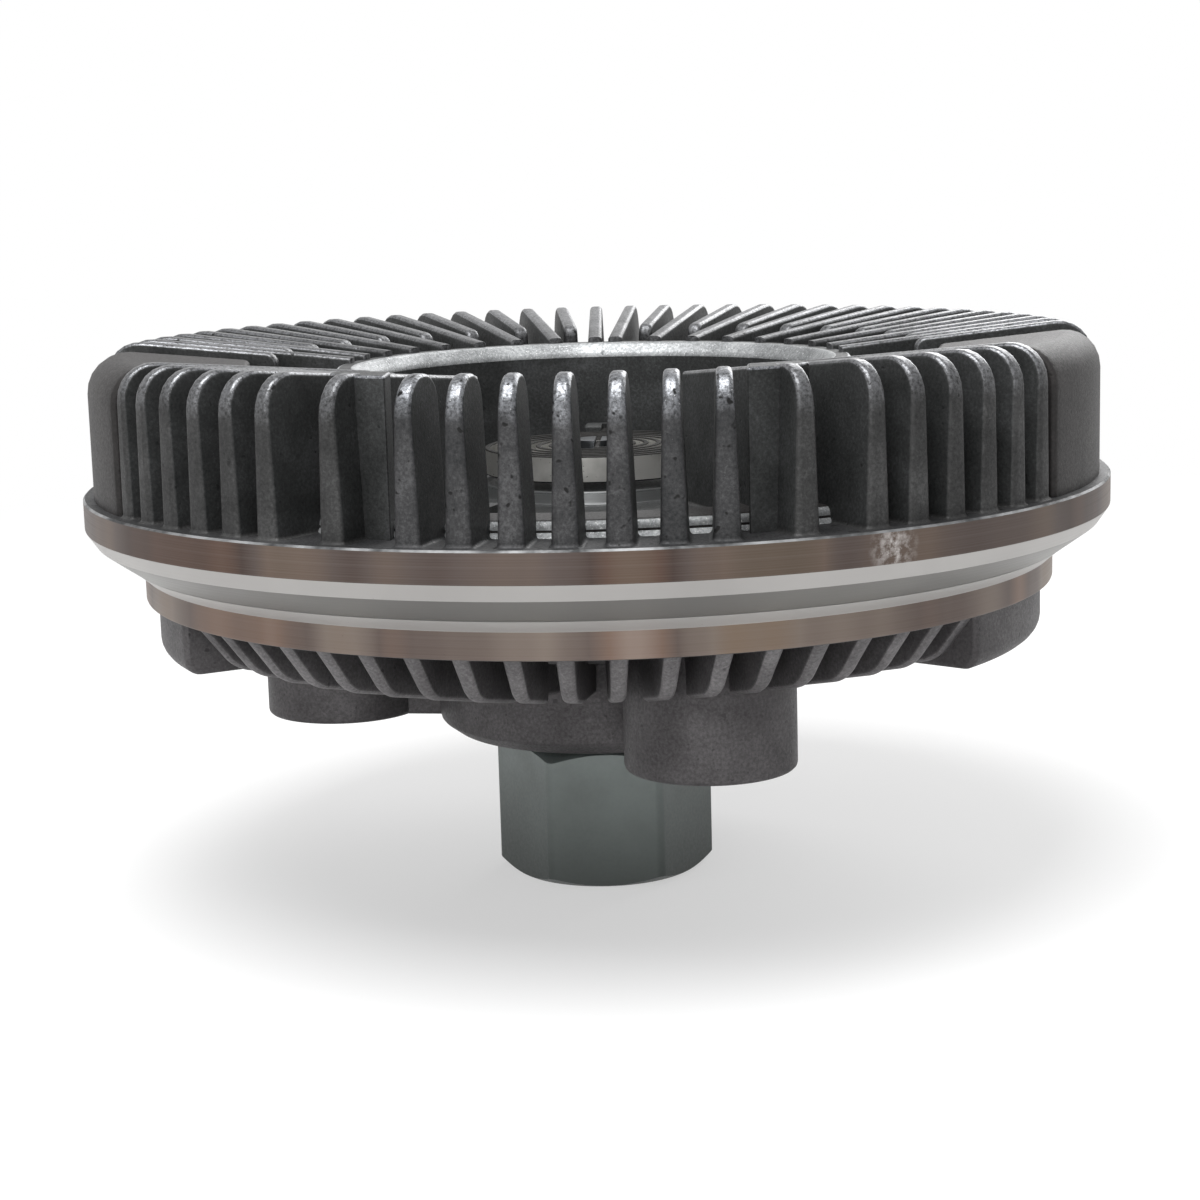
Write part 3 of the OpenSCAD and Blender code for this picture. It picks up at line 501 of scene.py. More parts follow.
# Light strip sides are partly the steel's colour and partly a painted highlight; the dark top and bottom
# edges are painted shade
bimetal = plain_metal("bimetal_strip", "a3a29e", "c4c3bf", 0.55, 0.35)
bimetal_shaded_edge = plain_metal("bimetal_strip_shaded_edge", "191918", "262524", 0.1, 0.7, specular=0.1)
ground_steel = plain_metal("ground_steel", "8f9294", "b9bcbe", 1.0, 0.25)
spring_steel = plain_metal("spring_steel", "4a4d50", "66696c", 1.0, 0.35)
sheet_steel = plain_metal("sheet_steel", "8c8f90", "adb0b1", 0.9, 0.38)
brass = plain_metal("brass", "9a7d3f", "c3a35c", 1.0, 0.32)
disc_aluminium = plain_metal("disc_aluminium", "9c9ea0", "c2c4c5", 0.9, 0.36)
seal_rubber = dull_finish("seal_rubber", "141414", "242424", 0.6)
wiper_plastic = dull_finish("wiper_plastic", "1d1e20", "303236", 0.45)


# Shapes

def paint(bm, finish):
    for face in bm.faces:
        face.material_index = finish


def paint_slopes(bm, finish):
    """Finishes the faces that lean back between upright and flat."""
    bm.normal_update()
    for face in bm.faces:
        if LEAST_SLOPE < face.normal.z < FLANK_SLANT:
            face.material_index = finish


def sweep(bm, geom, turn, steps, axis_x=0, rise=0, whole=False):
    """Sweeps geometry about an upright axis, rising at each step, and returns its last place."""
    return bmesh.ops.spin(bm, geom=geom, cent=(axis_x, 0, 0), axis=(0, 0, 1), dvec=(0, 0, rise),
                          angle=turn, steps=steps, use_merge=whole)["geom_last"]


def turned(corners):
    """Solid of revolution of a closed outline.

    Each corner is its radius, its height, the width by which its edge is softened and the finish of the side
    that starts there. A side along the axis has no finish.
    """
    bm = bmesh.new()
    for i, (r, z, _, finish) in enumerate(corners):
        if finish is None:
            continue
        r_end, z_end = corners[(i + 1) % len(corners)][:2]
        side = bmesh.new()
        ends = [side.verts.new((r, 0, z)), side.verts.new((r_end, 0, z_end))]
        sweep(side, [*ends, side.edges.new(ends)], 2 * math.pi, TURN_STEPS, whole=True)
        paint(side, finish)
        add_copies(bm, side, [Matrix()])
    bmesh.ops.remove_doubles(bm, verts=bm.verts, dist=SEAM)
    bmesh.ops.recalc_face_normals(bm, faces=bm.faces)
    for r, z, softness, _ in corners:
        if softness:
            soften(bm, ring_edges(bm, r, z), softness)
    return bm


def ring_edges(bm, r, z):
    """The edges of a circle about the axis."""
    on_ring = {v for v in bm.verts if abs(v.co.z - z) < NEAR and abs(v.co.xy.length - r) < NEAR}
    return [e for e in bm.edges if on_ring.issuperset(e.verts)]


def soften(bm, edges, width, segments=2):
    """Rounds edges and returns the new faces."""
    return bmesh.ops.bevel(bm, geom=edges, offset=width, offset_type="OFFSET", affect="EDGES",
                           segments=segments, profile=0.5, material=-1, clamp_overlap=True)["faces"]


def outline_face(bm, points, rounds):
    """A flat side view in the XZ plane, each corner rounded by its radius."""
    corners = [bm.verts.new((x, 0, z)) for x, z in points]
    bm.faces.new(corners)
    for corner, radius in zip(corners, rounds):
        if radius:
            bmesh.ops.bevel(bm, geom=[corner], offset=radius, affect="VERTICES", segments=6, profile=0.5,
                            material=-1)
    return bm.faces[:]


def verts_of(geom):
    return [g for g in geom if isinstance(g, bmesh.types.BMVert)]


def tapered_plate(points, rounds, foot, tip, edge_r, finish, edge_finish):
    """Plate on edge along +X with the given side view, rounded rims and a foot thicker than its tip."""
    (foot_z, foot_t), (tip_z, tip_t) = foot, tip
    bm = bmesh.new()
    side = outline_face(bm, points, rounds)
    far_side = bmesh.ops.extrude_face_region(bm, geom=side)["geom"]
    bmesh.ops.translate(bm, verts=verts_of(far_side), vec=(0, tip_t, 0))
    bmesh.ops.translate(bm, verts=bm.verts, vec=(0, -tip_t / 2, 0))
    bmesh.ops.recalc_face_normals(bm, faces=bm.faces)
    beyond_foot = [e for e in bm.edges if any(abs(v.co.z - foot_z) > NEAR for v in e.verts)]
    on_one_side = [e for e in beyond_foot if e.verts[0].co.y * e.verts[1].co.y > 0]
    rims = [e for e in on_one_side if e.calc_face_angle(0) > RIM_ANGLE]
    soften(bm, rims, edge_r, segments=4)
    bm.normal_update()
    for face in bm.faces:
        face.material_index = edge_finish if abs(face.normal.y) < FLANK_SLANT else finish
    for v in bm.verts:
        v.co.y *= 1 + (foot_t / tip_t - 1) * (tip_z - v.co.z) / (tip_z - foot_z)
    return bm


def flare_foot(bm, foot_z, radius, length_mid, length, thickness):
    """Spreads a plate's foot in a hollow curve and runs it into the wall."""
    foot = min(bm.faces, key=lambda face: face.calc_center_median().z)
    about_mid = Matrix.Translation((-length_mid, 0, 0))
    flare_steps = 4
    wide = 0
    for k in range(1, flare_steps + 2):
        turn = min(k / flare_steps, 1) * math.pi / 2
        wider = radius * (1 - math.cos(turn))
        foot = bmesh.ops.extrude_discrete_faces(bm, faces=[foot])["faces"][0]
        stretch = [(size + 2 * wider) / (size + 2 * wide) for size in (length, thickness)]
        bmesh.ops.scale(bm, verts=foot.verts, vec=(*stretch, 1), space=about_mid)
        drop = radius * math.sin(turn) if k <= flare_steps else radius + ROOT
        bmesh.ops.translate(bm, verts=foot.verts, vec=(0, 0, foot_z - drop - foot.verts[0].co.z))
        wide = wider


def at(bearing):
    """Turn that takes what was drawn along +X to a bearing."""
    return Matrix.Rotation(math.radians(bearing - 90), 4, "Z")


def add_copies(bm, shape, matrices):
    """Adds a shape to bm at each place, and frees it."""
    mesh = bpy.data.meshes.new("copies")
    shape.to_mesh(mesh)
    shape.free()
    for matrix in matrices:
        start = len(bm.verts)
        bm.from_mesh(mesh)
        bm.verts.ensure_lookup_table()
        bmesh.ops.transform(bm, matrix=matrix, verts=bm.verts[start:])
    bpy.data.meshes.remove(mesh)


def both_sides(matrices):
    """Each place and its mirror image across the YZ plane."""
    return [side @ m for m in matrices for side in (Matrix(), MIRROR)]


def upright(points, low, high, softness, finish):
    """Prism over a plan view, with its edges softened."""
    bm = bmesh.new()
    plan = bm.faces.new([bm.verts.new((x, y, low)) for x, y in points])
    top = bmesh.ops.extrude_face_region(bm, geom=[plan])["geom"]
    bmesh.ops.translate(bm, verts=verts_of(top), vec=(0, 0, high - low))
    bmesh.ops.recalc_face_normals(bm, faces=bm.faces)
    soften_sharp(bm, softness, finish, finish)
    return bm


def soften_sharp(bm, softness, finish, edge_finish):
    """Finishes a solid and rounds its sharp edges, which have a finish of their own."""
    paint(bm, finish)
    if softness:
        sharp = [e for e in bm.edges if e.calc_face_angle(0) > SHARP_ANGLE]
        for face in soften(bm, sharp, softness, segments=3):
            face.material_index = edge_finish


def soft_box(low, high, softness, finish):
    """Box between two corners, with its edges softened."""
    plan = [(low[0], low[1]), (high[0], low[1]), (high[0], high[1]), (low[0], high[1])]
    return upright(plan, low[2], high[2], softness, finish)


def sector(points, rounds, angle, softness, finish, edge_finish=None):
    """Solid of a side view swept about the axis, from +X on, with its sharp edges softened."""
    bm = bmesh.new()
    side = outline_face(bm, points, rounds)
    steps = round(angle * TURN_STEPS / 360)
    sweep(bm, side, math.radians(angle), steps)
    bmesh.ops.recalc_face_normals(bm, faces=bm.faces)
    soften_sharp(bm, softness, finish, finish if edge_finish is None else edge_finish)
    return bm


def drill(r, length, finish, steps=SMALL_STEPS):
    """Round bar along +X from the origin."""
    bm = bmesh.new()
    lay = Matrix.Translation((length / 2, 0, 0)) @ Matrix.Rotation(math.pi / 2, 4, "Y")
    bmesh.ops.create_cone(bm, cap_ends=True, segments=steps, radius1=r, radius2=r, depth=length, matrix=lay)
    paint(bm, finish)
    return bm


def thread_groove(core_r, outer_r, pitch, z, length, finish):
    """Winding V groove that cuts an internal thread into a bore."""
    bm = bmesh.new()
    inner_r = core_r - pitch / 8
    half = pitch * 7 / 16
    crest = pitch / 16
    section = [(inner_r, z - half), (outer_r, z - crest), (outer_r, z + crest), (inner_r, z + half)]
    side = bm.faces.new([bm.verts.new((r, 0, height)) for r, height in section])
    steps = round(length / pitch) * SMALL_STEPS
    sweep(bm, [side], 2 * math.pi * length / pitch, steps, rise=length / steps)
    paint(bm, finish)
    return bm


def as_object(name, bm, finishes):
    """An object from a bmesh whose faces count their finishes in this order."""
    bmesh.ops.recalc_face_normals(bm, faces=bm.faces)
    mesh = bpy.data.meshes.new(name)
    bm.to_mesh(mesh)
    bm.free()
    for finish in finishes:
        mesh.materials.append(finish)
    made = bpy.data.objects.new(name, mesh)
    bpy.context.scene.collection.objects.link(made)
    return made


def fused(base, changes, finishes):
    """Joins solids to a base, cuts them from it or keeps what they share, in order."""
    solid = as_object("base", base, finishes)
    tools = []
    for operation, bm in changes:
        tools.append(as_object("tool", bm, finishes))
        change = solid.modifiers.new(operation, "BOOLEAN")
        change.operation = operation
        change.solver = "MANIFOLD"
        change.object = tools[-1]
    bpy.context.view_layer.update()
    mesh = bpy.data.meshes.new_from_object(solid.evaluated_get(bpy.context.evaluated_depsgraph_get()))
    result = bmesh.new()
    result.from_mesh(mesh)
    for extra in (solid, *tools):
        bpy.data.meshes.remove(extra.data)
    bpy.data.meshes.remove(mesh)
    return result


def place(node, piece, bm, finishes, body, slot):
    """Puts a finished piece into the frame, in place of the node that it stands for."""
    bmesh.ops.translate(bm, verts=bm.verts, vec=(0, 0, FLANGE_Z / MM))
    bmesh.ops.scale(bm, verts=bm.verts, vec=(MM, MM, MM))
    made = as_object(piece, bm, finishes)
    made.data.shade_smooth()
    made.data.set_sharp_from_angle(angle=math.radians(SMOOTH_DEG))
    flats = made.modifiers.new("flats", "WEIGHTED_NORMAL")
    flats.keep_sharp = True
    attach(made, body)
    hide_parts(node)


# Front cover

CAST, EDGE, BURR_LINE, FLANGE, CHAMFER, LIP_FACE, BORED, PAINTED_HIGHLIGHT, BLOCK_AND_SHADE, LONG_EDGE = range(10)
cover_finishes = [cast_dark, cast_edge, burr_line, flange_metal, chamfer_metal, lip_metal, bored_metal,
                  cast_painted_highlight, cast_block_and_shade, cast_long_edge]


def ridge_corners(z, rise):
    """Outline of the housing's ridges, from the innermost out."""
    for i in range(1, 2 * RIDGES, 2):
        r = RIDGE_FIRST_R + i * RIDGE_HALF_PITCH
        inner_r, outer_r = r - RIDGE_W / 2, r + RIDGE_W / 2
        yield from ((inner_r, z, 0, BORED), (inner_r, z + rise, 0, BORED), (outer_r, z + rise, 0, BORED),
                    (outer_r, z, 0, BORED))


def cover_plate():
    """Turned plate of the cover, with its coil seat, flange band, rolled lip and reservoir."""
    skirt_r = RIM_R + RIM_FIT
    return turned([
        (BUSH_R, CEILING_Z, 0, BORED), (BUSH_R, SEAT_TOP, 0.3, CAST), (SEAT_R, SEAT_TOP, 0.4, BORED),
        (SEAT_R, POCKET_FLOOR, 0.6, CAST), (POCKET_R, POCKET_FLOOR, 0.8, CAST),
        (POCKET_R, FLANGE_H, 0.5, EDGE), (FLANGE_R - BURR, FLANGE_H, 0, BURR_LINE),
        (FLANGE_R, FLANGE_H - BURR, 0, FLANGE),
        (FLANGE_R, 0, 0.15, CHAMFER), (*LIP_START, 0.2, LIP_FACE), (*LIP_END, 0.2, LIP_FACE),
        (*LIP_INNER, 0, BORED), (skirt_r, lip_seat_z(skirt_r), 0, BORED), (skirt_r, 0, 0, BORED),
        *reversed(list(ridge_corners(0, -RIDGE_H))),
        (PLATE_R, 0, 0, BORED), (PLATE_R, PLATE_TOP, 0, BORED), (RESERVOIR_R, PLATE_TOP, 0, BORED),
        (RESERVOIR_R, CEILING_Z, 0, BORED)])


def cover_fin(r_in, rounds, edge_finish=LONG_EDGE):
    """One fin along +X, with a dished top edge, round edges and a flared foot."""
    foot_z = FLANGE_H + FIN_FLARE_R
    points = [(r_in, foot_z), (FIN_R, foot_z), (FIN_R, fin_edge_z(FIN_R, FIN_TOP)),
              (r_in, fin_edge_z(r_in, FIN_TOP))]
    foot_t = FIN_FOOT_T - (FIN_FOOT_T - FIN_TIP_T) * FIN_FLARE_R / (FIN_TOP - FLANGE_H)
    bm = tapered_plate(points, (0, 0, *rounds), (foot_z, foot_t), (FIN_TOP, FIN_TIP_T), FIN_EDGE_R, CAST,
                       edge_finish)
    flare_foot(bm, foot_z, FIN_FLARE_R, (r_in + FIN_R) / 2, FIN_R - r_in, foot_t)
    return bm


def fin_rows():
    """Bearings of the half-length fins and of those that reach the ring wall, on one side."""
    rows = ((LONG_FIN_AT, LONG_FINS), (REAR_FIN_AT, REAR_FINS))
    half = [first + FIN_PITCH * i for first, count in rows for i in range(0, count, 2)]
    long = [first + FIN_PITCH * i for first, count in rows for i in range(1, count, 2)]
    return half, [POST_FIN_AT, *long]


def short_fin_place(i):
    """Those on the -X side point at the axis, and the others are turned about their outer edges."""
    turned_by = 0 if i < 0 else SHORT_FIN_TURN + SHORT_FIN_SWING * i
    nose = Matrix.Translation((FIN_R, 0, 0))
    swing = Matrix.Rotation(math.radians(-turned_by), 4, "Z")
    return at(SHORT_FIN_PITCH * i) @ nose @ swing @ nose.inverted()


def cover_walls():
    """Ring wall of the pocket, the two blocks and the low step."""
    bm = bmesh.new()
    low = FLANGE_H - ROOT
    wall_r = POCKET_R - POCKET_WALL_FIT
    wall = [(wall_r, POCKET_FLOOR - ROOT), (POCKET_WALL_R, POCKET_FLOOR - ROOT),
            (POCKET_WALL_R, POCKET_WALL_TOP), (POCKET_R + POCKET_CHAMFER.x, POCKET_WALL_TOP),
            (wall_r, POCKET_WALL_TOP - POCKET_CHAMFER.y)]
    # The ring wall's softened rims and its sloped chamfer take the painted highlight
    ring = sector(wall, (0, 0, 0, 0, 0), 360 - 2 * POST_FIN_AT, POCKET_WALL_EDGE_R, CAST, PAINTED_HIGHLIGHT)
    paint_slopes(ring, PAINTED_HIGHLIGHT)
    add_copies(bm, ring, [at(POST_FIN_AT)])
    top = FIN_TOP - BLOCK_FALL
    outline = [(BLOCK_R, low), (FIN_R, low), (FIN_R, fin_edge_z(FIN_R, top)),
               (BLOCK_R, fin_edge_z(BLOCK_R, top))]
    block = sector(outline, (0, 0, FIN_CORNER_R, 0), BLOCK_TO - BLOCK_FROM, BLOCK_EDGE_R, BLOCK_AND_SHADE)
    add_copies(bm, block, both_sides([at(BLOCK_FROM)]))
    top = FLANGE_H + STEP_H
    outline = [(STEP_INNER_R - ROOT, low), (STEP_R + STEP_FOOT_W, low), (STEP_R + STEP_FOOT_W, FLANGE_H),
               (STEP_R, FLANGE_H + STEP_FOOT_W), (STEP_R, top), (STEP_INNER_R - ROOT, top)]
    # The step's top and front take the block finish as painted shade, and its slopes take the painted
    # highlight
    step = sector(outline, (0, 0, 0, 0, STEP_ROUND_R, 0), 2 * LONG_FIN_AT, 0, BLOCK_AND_SHADE)
    paint_slopes(step, PAINTED_HIGHLIGHT)
    add_copies(bm, step, [at(-LONG_FIN_AT)])
    return bm


def cover_posts():
    """Flat-topped posts beside the window's fins, and the coil's post."""
    bm = bmesh.new()
    back_r = POST_R - POST_L
    plan = [(POST_R, -POST_W), (POST_R, 0), (POST_R - POST_L / 2, POST_BACK_W), (back_r, POST_BACK_W),
            (back_r, -POST_INNER_W)]
    post = upright(plan, FLANGE_H - ROOT, FIN_TOP - POST_FALL, POST_EDGE_R, CAST)
    paint_slopes(post, EDGE)
    add_copies(bm, post, both_sides([at(POST_FIN_AT)]))
    coil_post = soft_box((COIL_POST_R, -COIL_POST_W / 2, POCKET_FLOOR - ROOT),
                         (COIL_POST_R + COIL_POST_L, COIL_POST_W / 2, COIL_TOP + SLOT_RISE),
                         COIL_POST_EDGE_R, CAST)
    add_copies(bm, coil_post, [at(180)])
    return bm


def cover_holes():
    """Cuts of the cover in three sets, so that those within one set never cross."""
    passage_z = FLANGE_H / 2
    outlet_z = PLATE_TOP / 2
    stand = Matrix.Rotation(-math.pi / 2, 4, "Y")
    across, down, mouths = bmesh.new(), bmesh.new(), bmesh.new()
    hollow = [(POCKET_R - ROOT, HOLLOW_FLOOR), (STEP_INNER_R, HOLLOW_FLOOR), (STEP_INNER_R, FIN_TOP),
              (POCKET_R - ROOT, FIN_TOP)]
    add_copies(across, sector(hollow, (0, 0, 0, 0), 2 * HOLLOW_HALF, 0, CAST), [at(-HOLLOW_HALF)])

    def cut(bm, r, length, x, z, turn=Matrix()):
        shift = Matrix.Translation((x, 0, z)) @ turn
        add_copies(bm, drill(r, length, BORED), both_sides([at(PASSAGE_AT) @ shift]))

    cut(across, PASSAGE_D / 2, FLANGE_R, PASSAGE_OUTLET_R, passage_z)
    cut(across, PASSAGE_D / 2, PASSAGE_OUTLET_R - RESERVOIR_R + OVER, RESERVOIR_R - OVER, outlet_z)
    cut(down, PASSAGE_D / 4, passage_z + OVER, PASSAGE_INLET_R, -OVER, stand)
    cut(down, PASSAGE_D / 2, passage_z - outlet_z, PASSAGE_OUTLET_R, outlet_z, stand)
    cut(mouths, PLUG_D / 2, PLUG_DEPTH + OVER, FLANGE_R - PLUG_DEPTH, passage_z)
    rivets = [at(360 / RIVETS * i) @ Matrix.Translation((RIVET_R, 0, PLATE_TOP - OVER)) @ stand
              for i in range(RIVETS)]
    add_copies(mouths, drill(RIVET_D / 2, RIVET_L + OVER, BORED, SMALL_STEPS // 2), rivets)
    slot = soft_box((COIL_END_R, -STRIP_T - SLOT_FIT, COIL_Z - SLOT_FIT),
                    (COIL_END_R + COIL_TAB_L + SLOT_FIT, SLOT_FIT, COIL_TOP + SLOT_RISE + OVER), 0, CAST)
    add_copies(mouths, slot, [at(180)])
    return across, down, mouths


def make_front_cover():
    half, long = fin_rows()
    half_fins, long_fins = bmesh.new(), bmesh.new()
    half_fin = cover_fin(HALF_FIN_R, (FIN_CORNER_R, HALF_FIN_CORNER_R))
    add_copies(half_fins, half_fin, both_sides([at(b) for b in half]))
    long_fin = cover_fin(POCKET_WALL_R - ROOT, (FIN_CORNER_R, 0))
    add_copies(long_fins, long_fin, both_sides([at(b) for b in long]))
    short = [short_fin_place(i) for i in range(-SHORT_FINS, SHORT_FINS + 1)]
    add_copies(long_fins, cover_fin(SHORT_FIN_R, (FIN_CORNER_R, SHORT_FIN_CORNER_R), EDGE), short)
    joined = [("UNION", bm) for bm in (long_fins, half_fins, cover_walls(), cover_posts())]
    cuts = [("DIFFERENCE", bm) for bm in cover_holes()]
    cover = fused(cover_plate(), joined + cuts, cover_finishes)
    place("front_cover", "front_cover_cast", cover, cover_finishes, "housing", "cast_aluminium_dark")


# Rear casting

body_finishes = [cast_pale, cast_pale_lit_edge, burr_line, band_metal, chamfer_metal, lip_metal, bored_metal]


def body_shell():
    """Turned shell of the rear casting, with its band, hub, bearing seat and clutch chamber."""
    return turned([
        (RIM_R, 0, 0, BORED), (RIM_R, lip_seat_z(RIM_R), 0, BORED), (*LIP_INNER, 0, BORED),
        (*LIP_END, 0, CHAMFER), (*BAND_TOP, 0.15, FLANGE), (BAND_R, BAND_Z, 0.4, CAST),
        (*SHELL_EDGE, 0.8, CAST), (WELL_R, SHELL_WELL_Z, 0.8, CAST), (HUB_R, SHELL_HUB_Z, 1.2, CAST),
        (HUB_R, HUB_Z + HUB_CHAMFER.y, 0.6, CAST), (HUB_R - HUB_CHAMFER.x, HUB_Z, 0.3, BORED),
        (BEARING_R, HUB_Z, 0.4, BORED), (BEARING_R, RETAINER_Z, 0, BORED), (RETAINER_R, RETAINER_Z, 0, BORED),
        (RETAINER_R, RETAINER_TOP, 0, BORED), (BEARING_R, RETAINER_TOP, 0, BORED),
        (BEARING_R, BEARING_TOP, 0, BORED), (SHOULDER_R, BEARING_TOP, 0, BORED),
        (SHOULDER_R, -WELL_DEPTH, 0, BORED), (WELL_R, -WELL_DEPTH, 0, BORED),
        (WELL_R, -CHAMBER_DEPTH, 0, BORED),
        *ridge_corners(-CHAMBER_DEPTH, RIDGE_H), (CHAMBER_R, -CHAMBER_DEPTH, 0, BORED),
        (CHAMBER_R, 0, 0, BORED), (SEAL_GROOVE[0], 0, 0, BORED), (SEAL_GROOVE[0], SEAL_GROOVE_Z, 0, BORED),
        (SEAL_GROOVE[1], SEAL_GROOVE_Z, 0, BORED), (SEAL_GROOVE[1], 0, 0, BORED)])


def body_fin(r_in, inner_z):
    """One fin of the rear casting along +X, hanging from the shell."""
    foot_z = BAND_Z + ROOT
    points = [(r_in, foot_z), (BODY_FIN_R, foot_z), BODY_FIN_TIP]
    rounds = [0, 0, BODY_FIN_CORNER_R]
    if r_in < BODY_HALF_FIN[0]:
        points.append(BODY_HALF_FIN)
        rounds.append(0)
    points.append((r_in, inner_z))
    return tapered_plate(points, (*rounds, 0), (foot_z, BODY_FIN_ROOT_T), (BODY_FIN_HUB_Z, BODY_FIN_TIP_T),
                         BODY_FIN_EDGE_R, CAST, EDGE)


def each_boss():
    """Places of the fan bosses round the axis."""
    return [at(BOSS_AT + 360 / BOSSES * i) for i in range(BOSSES)]


def body_bosses():
    """Round fan bosses."""
    bm = bmesh.new()
    boss = bmesh.new()
    bmesh.ops.create_cone(boss, cap_ends=True, segments=BOSS_STEPS, radius1=BOSS_R, radius2=BOSS_R,
                          depth=REAR_ROOT_Z - BOSS_Z,
                          matrix=Matrix.Translation((BOSS_CIRCLE_R, 0, (REAR_ROOT_Z + BOSS_Z) / 2)))
    foot = [e for e in boss.edges if all(v.co.z < BOSS_Z + NEAR for v in e.verts)]
    soften(boss, foot, BOSS_EDGE_R, segments=3)
    add_copies(bm, boss, each_boss())
    return bm


def body_ribs_and_lugs():
    """Ribs from the bosses to the hub, and the two shallow lugs."""
    bm = bmesh.new()
    rib = soft_box((BEARING_R + ROOT, -BOSS_RIB_T / 2, BOSS_Z + BOSS_RIB_LIFT),
                   (BOSS_CIRCLE_R - BOSS_RIB_INSET, BOSS_RIB_T / 2, REAR_ROOT_Z), BOSS_EDGE_R, CAST)
    add_copies(bm, rib, each_boss())
    inner_r, outer_r = LUG_R
    outline = [(inner_r, REAR_ROOT_Z), (outer_r, REAR_ROOT_Z), (outer_r, LUG_Z), (inner_r, LUG_Z)]
    lug = sector(outline, (0, 0, LUG_CORNER_R, 0), LUG_TO - LUG_FROM, LUG_EDGE_R, CAST)
    turn = Matrix.Rotation(math.radians(LUG_TURN), 4, "Z")
    add_copies(bm, lug, [turn @ m for m in both_sides([at(LUG_FROM)])])
    return bm


def bolt_holes():
    """The bosses' drilled holes with their countersinks, and the threads' grooves."""
    mouth_r = BOLT_R + BOLT_SINK
    end_z = BOSS_Z + BOLT_DEPTH
    hole = turned([(0, BOSS_Z - OVER, 0, BORED), (mouth_r, BOSS_Z - OVER, 0, BORED),
                   (mouth_r, BOSS_Z, 0, BORED), (BOLT_CORE_R, BOSS_Z + mouth_r - BOLT_CORE_R, 0, BORED),
                   (BOLT_CORE_R, end_z, 0, BORED), (0, end_z + BOLT_CORE_R / 2, 0, None)])
    turns = round(BOLT_DEPTH * BOLT_THREAD_SHARE / BOLT_PITCH)
    groove = thread_groove(BOLT_CORE_R, BOLT_R, BOLT_PITCH, BOSS_Z, turns * BOLT_PITCH, BORED)
    holes, grooves = bmesh.new(), bmesh.new()
    places = [m @ Matrix.Translation((BOSS_CIRCLE_R, 0, 0)) for m in each_boss()]
    add_copies(holes, hole, places)
    add_copies(grooves, groove, places)
    return holes, grooves


def make_rear_body():
    fins = bmesh.new()
    places = [at(BODY_FIN_AT + 360 / BODY_FINS * i) for i in range(BODY_FINS)]
    add_copies(fins, body_fin(*BODY_HALF_FIN), places[::2])
    add_copies(fins, body_fin(HUB_R - ROOT, BODY_FIN_HUB_Z), places[1::2])
    joined = [("UNION", bm) for bm in (fins, body_bosses(), body_ribs_and_lugs())]
    cuts = [("DIFFERENCE", bm) for bm in bolt_holes()]
    body = fused(body_shell(), joined + cuts, body_finishes)
    place("rear_body", "rear_body_cast", body, body_finishes, "housing", "cast_aluminium_pale")


# Shaft with its nut end

def make_drive_shaft():
    corner_r = NUT_AF / math.sqrt(3)
    flat_r = NUT_AF / 2 - NUT_FACE_INSET
    chamfer_h = (corner_r - flat_r) * math.tan(math.radians(NUT_CHAMFER_DEG))
    nut = bmesh.new()
    bmesh.ops.create_circle(nut, cap_ends=True, segments=6, radius=corner_r,
                            matrix=Matrix.Rotation(math.radians(NUT_TURN + 30), 4, "Z"))
    bmesh.ops.bevel(nut, geom=nut.verts[:], offset=NUT_CORNER, affect="VERTICES", segments=3, profile=0.5,
                    material=-1)
    bmesh.ops.translate(nut, verts=nut.verts, vec=(0, 0, NUT_Z))
    top = bmesh.ops.extrude_face_region(nut, geom=nut.faces[:])["geom"]
    bmesh.ops.translate(nut, verts=verts_of(top), vec=(0, 0, NUT_TOP - NUT_Z))
    cone = turned([(0, NUT_Z, 0, 0), (flat_r, NUT_Z, 0, 0), (corner_r, NUT_Z + chamfer_h, 0, 0),
                   (corner_r, NUT_TOP - chamfer_h, 0, 0), (flat_r, NUT_TOP, 0, 0), (0, NUT_TOP, 0, None)])
    groove_low, groove_high = LOCK_GROOVE
    shaft = turned([(0, NUT_TOP - ROOT, 0, 0), (COLLAR_R, NUT_TOP - ROOT, 0, 0),
                    (COLLAR_R, RETAINER_TOP, 0.4, 0), (JOURNAL_R, RETAINER_TOP, 0, 0),
                    (JOURNAL_R, BEARING_TOP, 0.2, 0), (ROTOR_SEAT_R, BEARING_TOP, 0, 0),
                    (ROTOR_SEAT_R, groove_low, 0, 0), (LOCK_GROOVE_R, groove_low, 0, 0),
                    (LOCK_GROOVE_R, groove_high, 0, 0), (ROTOR_SEAT_R, groove_high, 0, 0),
                    (ROTOR_SEAT_R, SHAFT_TOP, 0.4, 0), (0, SHAFT_TOP, 0, None)])
    mouth_r = THREAD_CORE_R + THREAD_MOUTH
    bore = turned([(0, NUT_Z - OVER, 0, 0), (mouth_r, NUT_Z - OVER, 0, 0),
                   (mouth_r, NUT_Z, 0, 0), (THREAD_CORE_R, NUT_Z + THREAD_MOUTH, 0, 0),
                   (THREAD_CORE_R, NUT_Z + THREAD_DEPTH, 0, 0), (0, NUT_Z + THREAD_DEPTH, 0, None)])
    turns = round((THREAD_DEPTH - 2 * THREAD_PITCH) / THREAD_PITCH)
    groove = thread_groove(THREAD_CORE_R, THREAD_R, THREAD_PITCH, NUT_Z, turns * THREAD_PITCH, 0)
    changes = [("INTERSECT", cone), ("UNION", shaft), ("DIFFERENCE", bore), ("DIFFERENCE", groove)]
    made = fused(nut, changes, [zinc])
    place("drive_shaft", "drive_shaft_made", made, [zinc], "input", "zinc_plated_steel")


# Bimetal coil

